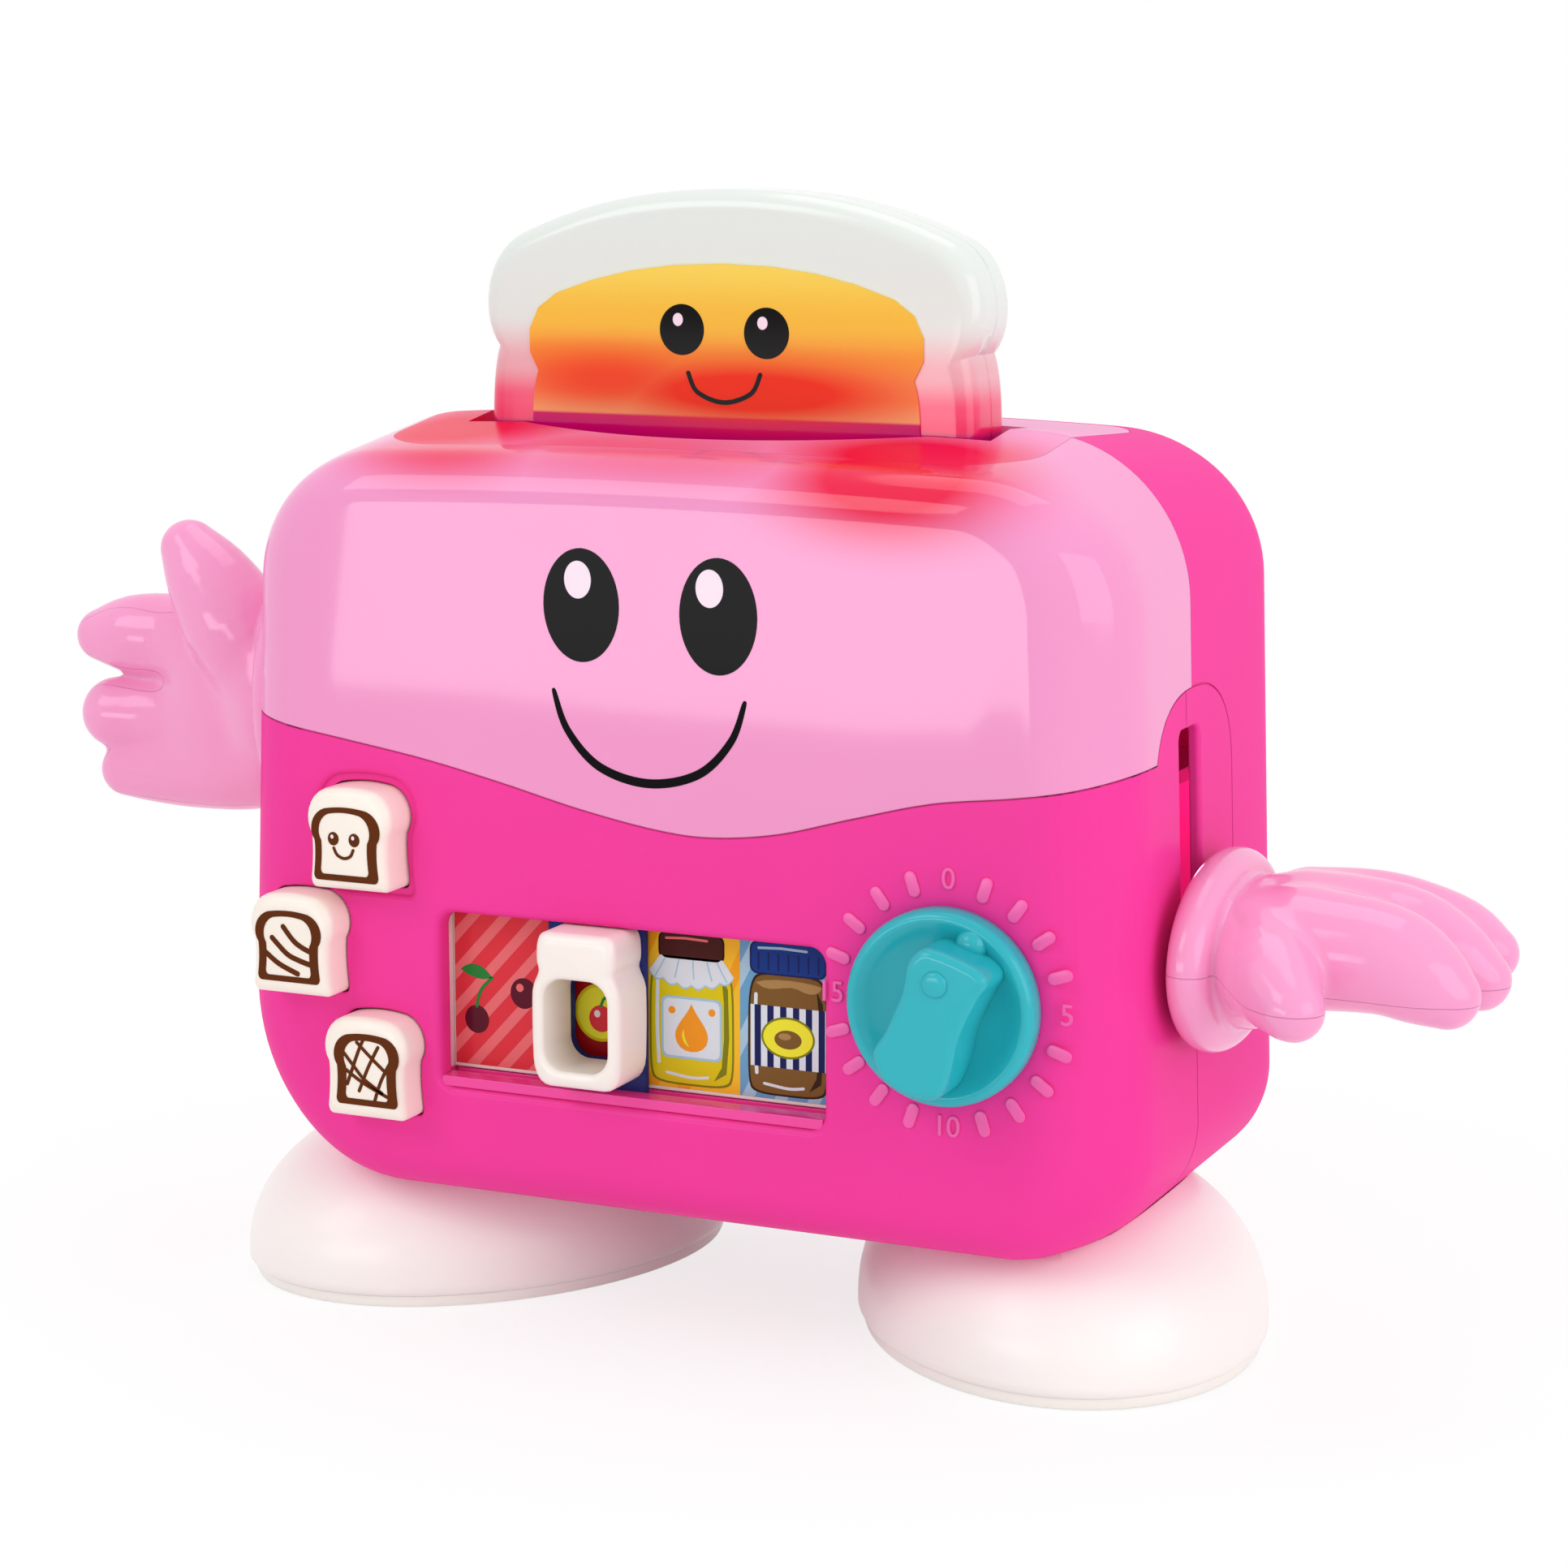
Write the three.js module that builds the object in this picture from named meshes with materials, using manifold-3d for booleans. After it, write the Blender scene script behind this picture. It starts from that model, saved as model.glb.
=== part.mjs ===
// Toy toaster playset: a two-tone moulded housing on two dome feet, with a pop-up slice of toast,
// a lever shaped as a hand, a waving hand, bread-slice buttons, a picture slider and a timer dial.
// Millimetres, +Z up, the front looks along -Y. Depths (y) are measured from the seam plane between
// the front and rear shells; the whole model is then set back so that the origin is under its middle.
import * as THREE from "three";
import { mergeVertices } from "three/addons/utils/BufferGeometryUtils.js";
import Module from "manifold-3d";

const wasm = await Module();
wasm.setup();

// Shared clearances
const seatGap = 0.3; // between pieces that seat on each other
const seamGap = 0.3; // visible parting line between mouldings
const runGap = 0.5; // around a piece that moves in another
const overrun = 8; // how far a cutting tool runs past what it cuts
const seamToOrigin = 4; // the origin lies this far behind the seam plane

// Housing
const body = {
  width: 230,
  bottom: 32,
  top: 214.4,
  frontDepth: 51,
  rearDepth: 75,
  wall: 2.6,
  topCornerRadius: 38,
  bottomCornerRadius: 45,
  sideLean: 4.2,
  sideFillet: 22,
  frontTopFillet: 10,
  frontBottomFillet: 12,
  rearTopFillet: 22,
  rearBottomFillet: 14,
  crown: 1.6,
};
const frontSlopeShare = 0.15; // fall of the top towards the front
const rearSlopeShare = 0.05;
const halfWidth = body.width / 2;

// Wavy parting line between the upper and the lower front shell
const wave = { low: 124.8, rise: 20.6 };
// places along the half width, and heights as shares of the rise
const waveShares = [
  [-1.1, 1.05],
  [-0.9, 0.94],
  [-0.68, 0.77],
  [-0.5, 0.615],
  [-0.33, 0.42],
  [-0.15, 0.19],
  [0.02, 0.03],
  [0.14, 0],
  [0.28, 0.1],
  [0.435, 0.335],
  [0.6, 0.57],
  [0.77, 0.7],
  [0.92, 0.85],
  [1.1, 1.15],
];

// Arched panel round the lever slot, on the right side
const arch = {
  halfWidth: 27.5,
  centre: 1.5,
  rise: 22,
  springHeight: 136,
  innerReach: 24,
  groove: 0.7,
  power: 2.4,
  tongueFront: -4, // the rear shell reaches this far forward inside the arch
  tongueBottom: 92,
};

// Toast slot and the collar round it
const toast = {
  width: 126,
  neckWidth: 121,
  lowerWidth: 125,
  height: 112,
  thickness: 22,
  edge: 5,
  wall: 2.6,
  top: 268.3,
  lift: 70,
};
const slot = { endGap: 4, sideGap: 1, lensLength: 104, lensDepth: 14, cornerRadius: 2 };
const collar = { halfLength: 82, front: 36, rear: 50, frontCorner: 20, rearCorner: 12, wall: 2.6 };
const well = { wall: 2, bottom: 146, flare: 0.8 };

// Lever: a hand on a stem that slides up the right side
const lever = { height: 98.4, travel: 43, stemWidth: 8, stemHeight: 14, stemInner: 98, stemOuter: 140 };
const leverSlotSize = { halfWidth: 7, centre: -2, corner: 2.5 };
const frameBracket = {
  left: 76,
  width: 20,
  back: 13,
  plate: 3,
  front: 10,
  bottom: 74,
  top: 203,
  flange: 3.4,
  holder: 128,
};
const carriage = { left: 78.6, width: 17, halfDepth: 8, bottom: 88, top: 156.2, boreGap: 0.3 };
const guideRod = { radius: 2, inset: 4 };
const tray = { halfLength: 56, halfDepth: 10, thickness: 3, armWidth: 9, armHeight: 6 };
const magnet = { halfWidth: 5, halfDepth: 5 };

// Hand: an oval flange, a palm and four round digits; lengths run outwards from the body's middle
const hand = {
  flangeStart: 116.2,
  flangeThickness: 9.6,
  flangeHalfLength: 33,
  flangeHalfHeight: 23,
  partingStart: 126,
  partingEnd: 138,
  partingDrop: 4.5,
};
// Balls along each digit: outward place, thumbward place, place towards the hand's back, and radius
const rightDigits = {
  index: [
    [141.4, 8, 4, 13.9],
    [159.2, 10, 3.6, 12.5],
    [168.1, 11, 0.7, 10.7],
    [175, 11.5, -3.2, 7.4],
  ],
  middle: [
    [138.8, -5, 4.9, 13.5],
    [157.7, -7, 4.9, 12.2],
    [168.7, -8, 1.4, 10.3],
    [177.3, -8.5, -3.5, 7.1],
  ],
  ring: [
    [136.2, -16, 6.2, 11],
    [147.8, -20, 6.5, 10.5],
    [156.8, -22, 4.5, 11],
    [167.9, -22.5, 1.9, 10],
    [175.9, -23.5, -0.8, 6.6],
  ],
  thumb: [
    [130.8, 12, 2.6, 12.4],
    [137.9, 23, 0.4, 11],
    [145, 32, -3.4, 7.9],
    [147, 34, -4.5, 6.8],
  ],
};
const leftDigits = {
  index: [
    [148.1, 9.2, 3, 13.1],
    [162.6, 11, 4, 11.5],
    [173.6, 11.7, 2, 10.2],
    [182.6, 11.4, 0, 6.8],
  ],
  middle: [
    [143.6, -6.7, 4, 13.8],
    [156.7, -9, 4, 11.8],
    [169.2, -9, 3, 10.5],
    [179, -8.6, 0, 9.1],
  ],
  ring: [
    [133.7, -17.6, 2, 12.7],
    [145.9, -19.9, 2, 11.9],
    [158.2, -21.8, 2, 10.3],
    [168.3, -22.8, 1, 8.5],
    [176, -23.1, 0, 7.1],
  ],
  thumb: [
    [132.3, 8.1, -3, 13.6],
    [138.2, 17.9, -7, 13.2],
    [144.4, 27.9, -8, 10.9],
    [150.4, 36, -8, 7.3],
  ],
};
const palm = { centre: [143, -5, 3], radii: [22, 25, 14] };
const wrist = { centre: [128, 1, 0], radii: [14, 24, 17] };
const leftArm = { height: 142, inset: 1, hubRadius: 7.5, hubInner: 104, hubOuter: 136, stopRadius: 12 };

// Bread-slice buttons
const button = { width: 24, height: 26, proud: 9, travel: 2.5, rim: 1.3, edge: 2.2, skirt: 1.5 };
const buttonStepShares = { narrower: 0.7, lower: 0.4 };
const smileButton = { x: -73.8, z: 118.2, recess: 1.3 };
const stripeButton = { x: -90.2, z: 91.7, recess: 0 };
const latticeButton = { x: -70.5, z: 63.6, recess: 0 };
const buttonRecessMargin = 3;
const keypad = { sheet: 1.6, domeRadius: 7, domeHeight: 0.6 };
const board = {
  thickness: 1.6,
  left: -102,
  right: -61,
  bottom: 53,
  top: 131,
  notchLeft: -90,
  notchTop: 72,
};
const boardBossRadius = 3;
const upperBoardBoss = { x: -97, z: 117 };
const middleBoardBoss = { x: -67.5, z: 91 };
const lowerBoardBoss = { x: -93.5, z: 67 };

// Picture window with its sliding jar-shaped frame
const pictureWindow = {
  left: -55.5,
  right: 43.2,
  bottom: 61.2,
  top: 101.4,
  corner: 4,
  rim: 1.5,
  rimDepth: 5.4,
};
const trayBox = {
  margin: 1,
  topMargin: 2,
  wall: 1.2,
  depth: 4.2,
  plate: 2,
  ledgeHeight: 2.4,
  grooveDepth: 1.2,
};
const card = { thickness: 0.6, edge: 0.8 };
const jar = {
  x: -15.2,
  width: 23,
  bottom: 65,
  top: 101,
  proud: 9,
  capHeight: 7,
  capWidth: 19,
  neckWidth: 17,
  neckHeight: 2.4,
  holeWidth: 16.4,
  holeBottom: 68.8,
  holeTop: 90.4,
  corner: 5,
  edge: 1.3,
  clipThickness: 2,
  tongue: 1.3,
};
const jarTravel = { left: 28.4, right: 46.4 };

// Timer dial
const dial = {
  x: 73.2,
  z: 92,
  radius: 22.3,
  proud: 9,
  rimWidth: 4.2,
  bowlDepth: 4,
  skirtGap: 0.4,
  gripProud: 17,
  gripTurnDegrees: 24,
  dotAlong: 10.6,
  dotAcross: -1.4,
  dotRadius: 2.3,
  dotHeight: 1,
  nubAlong: 17.4,
  nubAcross: 3.4,
  nubRadius: 3.3,
  nubHeight: 4.6,
  shaftRadius: 4.4,
  shaftEnd: 34,
};
// outline of the grip: place along it and half width, both as shares of the dial's radius
const gripShares = [
  [0.8, 0],
  [0.77, 0.2],
  [0.62, 0.33],
  [0.42, 0.31],
  [0.1, 0.235],
  [-0.2, 0.27],
  [-0.5, 0.37],
  [-0.75, 0.37],
  [-0.93, 0.24],
  [-0.99, 0],
];
const timer = { halfWidth: 13, halfHeight: 13, depth: 14 };

// Feet
const foot = {
  length: 132,
  width: 97.2,
  height: 46,
  sole: 3,
  soleInset: 1.5,
  wall: 2.6,
  rim: 3,
  roof: 26,
  x: 77.2,
  y: 14.2,
  splayDegrees: 28.3,
  power: 2.15,
};

// Battery compartment, board and speaker on the rear shell
const battery = {
  radius: 7.2,
  length: 50.5,
  pitch: 14.7,
  count: 3,
  lowest: 57,
  doorGap: 4.7,
  nub: 1,
  nubRadius: 2.6,
};
const box = {
  halfWidth: 40,
  bottom: 40,
  top: 110,
  wall: 2,
  floorGap: 3.3,
  innerHalfWidth: 30,
  innerMargin: 0.3,
};
const door = { halfWidth: 36, bottom: 44, top: 106, corner: 4 };
const doorScrew = { z: 101.5, headRadius: 3, headHeight: 1.6, shankRadius: 1.4, length: 14 };
const mainBoard = { halfWidth: 34, bottom: 46, top: 98, thickness: 1.6 };
const speaker = {
  x: -66,
  z: 108,
  radius: 18,
  rimHeight: 3,
  coneDepth: 6,
  magnetRadius: 9,
  magnetDepth: 6,
};
const grille = { slotHeight: 2.4, pitch: 5, lengths: [16, 24, 28, 24, 16] };
const power = { x: 66, z: 108, slotLength: 14, slotHeight: 5, knobLength: 7, knobProud: 2, travel: 6 };
const powerBody = { halfLength: 14, halfHeight: 6, depth: 8, plate: 1.6 };

// Screws that hold the rear shell to the front
const upperLeftBoss = { x: -96, z: 168 };
const upperRightBoss = { x: 103, z: 168 };
const lowerLeftBoss = { x: -96, z: 57 };
const lowerRightBoss = { x: 88, z: 56 };
const boss = {
  radius: 4.2,
  headRadius: 3.2,
  headHeight: 2,
  shankRadius: 1.4,
  headDepth: 17,
  pastSeam: 12,
};

// Light-emitting lenses in the front of the well
const led = { x: 38, z: 188, radius: 2.5, flange: 3.2, flangeHeight: 1.2, reach: 3 };

// Facets
const cornerSteps = 8;
const innerCornerSteps = 5;
const crownSteps = 3;
const filletSteps = 6;
const innerFilletSteps = 4;
const boreSteps = 12;
const digitSteps = 12;
const roundSteps = 24;
const rimSteps = 5;
const fineSteps = 30;
const flatness = 0.03; // how far a surface may move when needless points are taken out

// Colours
const pink = "#fbaad6";
const magenta = "#f63f9c";
const palePink = "#fa9fd0";
const teal = "#44bcc2";
const cream = "#fff3e6";
const white = "#fdfaf5";
const paleGrey = "#e8eae6";

// Basic solids

// A closed geometry as a solid for joining and cutting, turned right side out
function solid(geometry) {
  const bare = geometry.clone();
  bare.deleteAttribute("normal");
  bare.deleteAttribute("uv");
  const merged = mergeVertices(bare, 1e-4);
  const triVerts = new Uint32Array(merged.index.array);
  const vertProperties = new Float32Array(merged.attributes.position.array);
  const make = () => new wasm.Manifold(new wasm.Mesh({ numProp: 3, vertProperties, triVerts }));
  const made = make();
  if (made.volume() > 0) return made;
  for (let i = 0; i < triVerts.length; i += 3) {
    const first = triVerts[i];
    triVerts[i] = triVerts[i + 1];
    triVerts[i + 1] = first;
  }
  return make();
}

function geometryOf(shape) {
  const mesh = shape.asOriginal().simplify(flatness).getMesh();
  const step = mesh.numProp;
  const position = new Float32Array(mesh.numVert * 3);
  for (let i = 0; i < mesh.numVert; i += 1) {
    position.set(mesh.vertProperties.subarray(i * step, i * step + 3), i * 3);
  }
  const geometry = new THREE.BufferGeometry();
  geometry.setAttribute("position", new THREE.BufferAttribute(position, 3));
  geometry.setIndex(new THREE.BufferAttribute(new Uint32Array(mesh.triVerts), 1));
  geometry.computeVertexNormals();
  return geometry;
}

function union(shapes) {
  return shapes.reduce((whole, shape) => whole.add(shape));
}

function block(x0, x1, y0, y1, z0, z1) {
  const geometry = new THREE.BoxGeometry(x1 - x0, y1 - y0, z1 - z0);
  geometry.translate((x0 + x1) / 2, (y0 + y1) / 2, (z0 + z1) / 2);
  return solid(geometry);
}

// Axis triples that lay a flat outline in a plane of the model, with its thickness along the third
const planes = {
  xz: [new THREE.Vector3(1, 0, 0), new THREE.Vector3(0, 0, 1), new THREE.Vector3(0, -1, 0)],
  yz: [new THREE.Vector3(0, 1, 0), new THREE.Vector3(0, 0, 1), new THREE.Vector3(1, 0, 0)],
  xy: [new THREE.Vector3(1, 0, 0), new THREE.Vector3(0, 1, 0), new THREE.Vector3(0, 0, 1)],
};

// A flat outline made into a plate between two places along the plane's normal
function plate(plane, shape, low, high, curveSegments = cornerSteps) {
  const settings = { depth: high - low, bevelEnabled: false, curveSegments };
  const geometry = new THREE.ExtrudeGeometry(shape, settings);
  const axes = planes[plane];
  geometry.applyMatrix4(new THREE.Matrix4().makeBasis(...axes));
  const start = plane === "xz" ? high : low;
  const normal = axes[2].clone().set(Math.abs(axes[2].x), Math.abs(axes[2].y), Math.abs(axes[2].z));
  geometry.translate(normal.x * start, normal.y * start, normal.z * start);
  return solid(geometry);
}

function outline(points) {
  return new THREE.Shape(points.map(([a, b]) => new THREE.Vector2(a, b)));
}

function roundedRect(left, right, bottom, top, corner) {
  const shape = new THREE.Shape();
  shape.moveTo(left + corner, bottom);
  shape.lineTo(right - corner, bottom);
  shape.absarc(right - corner, bottom + corner, corner, -Math.PI / 2, 0, false);
  shape.lineTo(right, top - corner);
  shape.absarc(right - corner, top - corner, corner, 0, Math.PI / 2, false);
  shape.lineTo(left + corner, top);
  shape.absarc(left + corner, top - corner, corner, Math.PI / 2, Math.PI, false);
  shape.lineTo(left, bottom + corner);
  shape.absarc(left + corner, bottom + corner, corner, Math.PI, Math.PI * 1.5, false);
  return shape;
}

// A turned solid about an axis: profile points are [radius, place along the axis]
function turned(axis, profile, x, y, z, steps = roundSteps) {
  const geometry = new THREE.LatheGeometry(profile.map(([r, h]) => new THREE.Vector2(r, h)), steps);
  if (axis === "z") geometry.rotateX(Math.PI / 2);
  if (axis === "x") geometry.rotateZ(-Math.PI / 2);
  geometry.translate(x, y, z);
  return solid(geometry);
}

function cylinder(axis, radius, low, high, a, b, steps = roundSteps) {
  const profile = [[0, low], [radius, low], [radius, high], [0, high]];
  if (axis === "x") return turned("x", profile, 0, a, b, steps);
  if (axis === "y") return turned("y", profile, a, 0, b, steps);
  return turned("z", profile, a, b, 0, steps);
}

// Skin over a row of rings with equal numbers of points, closed by a fan at each end
function loft(rings) {
  const count = rings[0].length;
  const position = [];
  const index = [];
  rings.forEach((ring) => ring.forEach((p) => position.push(p.x, p.y, p.z)));
  for (let i = 0; i < rings.length - 1; i += 1) {
    for (let j = 0; j < count; j += 1) {
      const k = (j + 1) % count;
      const a = i * count + j;
      const b = i * count + k;
      index.push(a, b, b + count, a, b + count, a + count);
    }
  }
  [0, rings.length - 1].forEach((i) => {
    const centre = rings[i].reduce((sum, p) => sum.add(p), new THREE.Vector3()).divideScalar(count);
    const hub = position.length / 3;
    position.push(centre.x, centre.y, centre.z);
    for (let j = 0; j < count; j += 1) {
      const a = i * count + j;
      const b = i * count + ((j + 1) % count);
      if (i === 0) index.push(hub, b, a);
      else index.push(hub, a, b);
    }
  });
  const geometry = new THREE.BufferGeometry();
  geometry.setAttribute("position", new THREE.BufferAttribute(new Float32Array(position), 3));
  geometry.setIndex(index);
  return solid(geometry);
}

const toaster = new THREE.Group();

// Places used by several pieces
const buttonPlaces = [
  { name: "smile_button", ...smileButton },
  { name: "stripe_button", ...stripeButton },
  { name: "lattice_button", ...latticeButton },
];
const boardBosses = [upperBoardBoss, middleBoardBoss, lowerBoardBoss];
const bossPlaces = [upperLeftBoss, upperRightBoss, lowerLeftBoss, lowerRightBoss];
const headPlace = body.rearDepth - boss.headDepth;
const batteryY = body.rearDepth - body.wall - battery.doorGap - battery.radius;
const boxFront = batteryY - battery.radius - box.floorGap - box.wall;
const trayLeft = pictureWindow.left - trayBox.margin - trayBox.wall;

function addPiece(name, shape, colour, roughness = 0.3, metalness = 0) {
  const material = new THREE.MeshStandardMaterial({ color: colour, roughness, metalness });
  const mesh = new THREE.Mesh(geometryOf(shape), material);
  mesh.name = name;
  toaster.add(mesh);
}

// Housing surfaces

// How far a rounded edge draws the outline in, near the end of a depth
function filletInset(y, depth, radius) {
  const into = Math.max(0, y - (depth - radius));
  return radius - Math.sqrt(Math.max(0, radius * radius - into * into));
}

// The housing's outline at a depth y, drawn in all round by an offset
function housingRing(y, offset, steps) {
  const front = y <= 0;
  const away = Math.abs(y);
  const depth = (front ? body.frontDepth : body.rearDepth) - offset;
  const slope = (front ? frontSlopeShare : rearSlopeShare) * away;
  const topFillet = front ? body.frontTopFillet : body.rearTopFillet;
  const bottomFillet = front ? body.frontBottomFillet : body.rearBottomFillet;
  const sideIn = offset + filletInset(away, depth, body.sideFillet - offset);
  const topIn = offset + slope + filletInset(away, depth, topFillet - offset);
  const bottomIn = offset + filletInset(away, depth, bottomFillet - offset);
  const topX = halfWidth - body.sideLean - body.topCornerRadius;
  const topZ = body.top - body.topCornerRadius;
  const lowX = halfWidth - body.bottomCornerRadius;
  const lowZ = body.bottom + body.bottomCornerRadius;
  const lean = Math.atan(body.sideLean / (topZ - lowZ));
  const tilt = Math.atan((2 * body.crown) / topX);
  const half = [];
  for (let i = 0; i <= steps; i += 1) {
    const angle = -Math.PI / 2 + (i / steps) * (Math.PI / 2 + lean);
    const r = body.bottomCornerRadius;
    half.push([lowX + (r - sideIn) * Math.cos(angle), lowZ + (r - bottomIn) * Math.sin(angle)]);
  }
  for (let i = 0; i <= steps; i += 1) {
    const angle = lean + (i / steps) * (Math.PI / 2 - lean - tilt);
    const r = body.topCornerRadius;
    half.push([topX + (r - sideIn) * Math.cos(angle), topZ + (r - topIn) * Math.sin(angle)]);
  }
  const [endX, endZ] = half[half.length - 1];
  for (let i = 1; i < crownSteps; i += 1) {
    const share = 1 - i / crownSteps;
    half.push([endX * share, endZ + body.crown * (1 - share * share)]);
  }
  const right = half.map(([x, z]) => new THREE.Vector3(x, y, z));
  const left = half.map(([x, z]) => new THREE.Vector3(-x, y, z)).reverse();
  const top = new THREE.Vector3(0, y, endZ + body.crown);
  return [...right, top, ...left];
}

// The whole housing as one solid, drawn in by an offset; inner surfaces get fewer facets
function housingSolid(offset) {
  const corners = offset > arch.groove ? innerCornerSteps : cornerSteps;
  const fillets = offset > arch.groove ? innerFilletSteps : filletSteps;
  const places = [];
  const frontDepth = body.frontDepth - offset;
  const rearDepth = body.rearDepth - offset;
  const radius = body.sideFillet - offset;
  for (let i = fillets; i >= 0; i -= 1) {
    places.push(-(frontDepth - radius) - radius * Math.sin((i / fillets) * (Math.PI / 2)));
  }
  places.push(0);
  for (let i = 0; i <= fillets; i += 1) {
    places.push(rearDepth - radius + radius * Math.sin((i / fillets) * (Math.PI / 2)));
  }
  return loft(places.map((y) => housingRing(y, offset, corners)));
}

const housingOuter = housingSolid(0);
const housingInner = housingSolid(body.wall);
const housingClear = housingSolid(-seatGap);
const innerClear = housingSolid(body.wall + seatGap);

// Everything in front of or behind the seam plane, kept half the seam gap away from it
const frontSide = block(
  -body.width, body.width, -body.frontDepth - overrun, -seamGap / 2, 0, body.top * 2,
);
const rearSide = block(
  -body.width, body.width, seamGap / 2, body.rearDepth + overrun, 0, body.top * 2,
);

// The region below the wavy line, moved up or down by a step
function belowWave(step) {
  const knots = waveShares.map(([x, z]) => {
    return new THREE.Vector2(x * halfWidth, wave.low + z * wave.rise + step);
  });
  const curve = new THREE.SplineCurve(knots).getPoints(waveShares.length * 3);
  const points = curve.map((p) => [p.x, p.y]);
  const edge = knots[knots.length - 1].x;
  points.push([edge, 0], [-edge, 0]);
  return plate("xz", outline(points), -body.frontDepth - overrun, overrun);
}

// The arch-headed region round the lever slot, grown by a step
function archRegion(step) {
  const points = [];
  const reach = arch.halfWidth + step;
  const rise = arch.rise + step;
  const steps = cornerSteps * 2;
  for (let i = 0; i <= steps; i += 1) {
    const angle = (i / steps) * Math.PI;
    const c = Math.cos(angle);
    const s = Math.sin(angle);
    const y = arch.centre + reach * Math.sign(c) * Math.abs(c) ** (2 / arch.power);
    points.push([y, arch.springHeight + rise * s ** (2 / arch.power)]);
  }
  points.push([arch.centre - reach, body.bottom], [arch.centre + reach, body.bottom]);
  return plate("yz", outline(points), halfWidth - arch.innerReach, halfWidth + overrun);
}

// Where the rear shell reaches forward of the seam inside the arch, grown by a step
function tongueRegion(step) {
  const low = arch.tongueBottom - step;
  const x = halfWidth - arch.innerReach;
  const slab = block(x, halfWidth + overrun, arch.tongueFront - step, seamGap, low, body.top);
  return slab.intersect(archRegion(step - seamGap / 2));
}

// The outline of the toast slot, grown by a step: straight ends and a lens-shaped swell in front
function slotShape(step) {
  const end = toast.width / 2 + slot.endGap + step;
  const side = toast.thickness / 2 + slot.sideGap + step;
  const lens = slot.lensLength / 2 + step;
  const points = [[-end, side], [-end, -side]];
  const steps = cornerSteps * 2;
  for (let i = 0; i <= steps; i += 1) {
    const share = (2 * i) / steps - 1;
    points.push([lens * share, -side - slot.lensDepth * (1 - share * share)]);
  }
  points.push([end, -side], [end, side]);
  return outline(points);
}

// The collar's place in the top, grown by a step: wide corners in front, small ones behind
function collarRegion(step) {
  const x = collar.halfLength + step;
  const front = -collar.front - step;
  const rear = collar.rear + step;
  const wide = collar.frontCorner + step;
  const small = collar.rearCorner + step;
  const shape = new THREE.Shape();
  shape.moveTo(-x + wide, front);
  shape.lineTo(x - wide, front);
  shape.absarc(x - wide, front + wide, wide, -Math.PI / 2, 0, false);
  shape.lineTo(x, rear - small);
  shape.absarc(x - small, rear - small, small, 0, Math.PI / 2, false);
  shape.lineTo(-x + small, rear);
  shape.absarc(-x + small, rear - small, small, Math.PI / 2, Math.PI, false);
  shape.lineTo(-x, front + wide);
  shape.absarc(-x + wide, front + wide, wide, Math.PI, Math.PI * 1.5, false);
  return plate("xy", shape, body.top - body.topCornerRadius / 2, body.top + overrun);
}

// The slot in the side that the lever's stem slides in
const leverSlotLow = lever.height - lever.stemHeight / 2 - runGap;
const leverSlotHigh = lever.height + lever.travel + lever.stemHeight / 2 + runGap;
function leverSlot() {
  const { halfWidth: reach, centre, corner } = leverSlotSize;
  const shape = roundedRect(centre - reach, centre + reach, leverSlotLow, leverSlotHigh, corner);
  return plate("yz", shape, halfWidth - arch.innerReach, halfWidth + overrun);
}

// The round hole in the other side for the left arm's hub
function armHole() {
  const radius = leftArm.hubRadius + runGap;
  return cylinder("x", radius, -halfWidth - overrun, -leftArm.hubInner, 0, leftArm.height);
}

// Points of a bread slice's outline: shares of its half width, and then of its height
const breadShares = {
  foot: [0.8, 0],
  footCurve: [0.92, 0],
  heel: [0.93, 0.08],
  waistCurve: [0.86, 0.36],
  waist: [0.9, 0.54],
  cheek: [1.08, 0.66],
  shoulder: [1, 0.9],
  crown: [0.6, 0.97],
  top: [0, 1.03],
};

// A slice of bread seen from the front: flat foot, waist and a domed, wider head
function breadShape(width, height, x, z) {
  const low = z - height / 2;
  const right = ([across, up]) => [x + (width / 2) * across, low + height * up];
  const left = ([across, up]) => [x - (width / 2) * across, low + height * up];
  const { foot: toe, footCurve, heel, waistCurve, waist, cheek, shoulder, crown, top } = breadShares;
  const shape = new THREE.Shape();
  shape.moveTo(...left(toe));
  shape.lineTo(...right(toe));
  shape.quadraticCurveTo(...right(footCurve), ...right(heel));
  shape.quadraticCurveTo(...right(waistCurve), ...right(waist));
  shape.bezierCurveTo(...right(cheek), ...right(shoulder), ...right(crown));
  shape.quadraticCurveTo(...right(top), ...left(crown));
  shape.bezierCurveTo(...left(shoulder), ...left(cheek), ...left(waist));
  shape.quadraticCurveTo(...left(waistCurve), ...left(heel));
  shape.quadraticCurveTo(...left(footCurve), ...left(toe));
  return shape;
}

// Long hollow pillars for the housing screws, from a wall to the seam
function bossPillars(front) {
  const pillars = bossPlaces.map(({ x, z }) => {
    const wallPlace = front ? -body.frontDepth + body.wall / 2 : body.rearDepth;
    const low = front ? wallPlace : seamGap / 2;
    const high = front ? -seamGap / 2 : wallPlace;
    return cylinder("y", boss.radius, low, high, x, z, boreSteps);
  });
  return union(pillars).intersect(housingSolid(body.wall / 2));
}

// What the housing screws need cut out: a shank bore and, behind, a wide well for the head
function bossBores() {
  const bores = bossPlaces.map(({ x, z }) => {
    const head = boss.headRadius + runGap / 2;
    const profile = [
      [0, -boss.pastSeam - seatGap],
      [boss.shankRadius + seatGap, -boss.pastSeam - seatGap],
      [boss.shankRadius + seatGap, headPlace - seatGap],
      [head, headPlace - seatGap],
      [head, body.rearDepth + overrun],
      [0, body.rearDepth + overrun],
    ];
    return turned("y", profile, x, 0, z, boreSteps);
  });
  return union(bores);
}

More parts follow.
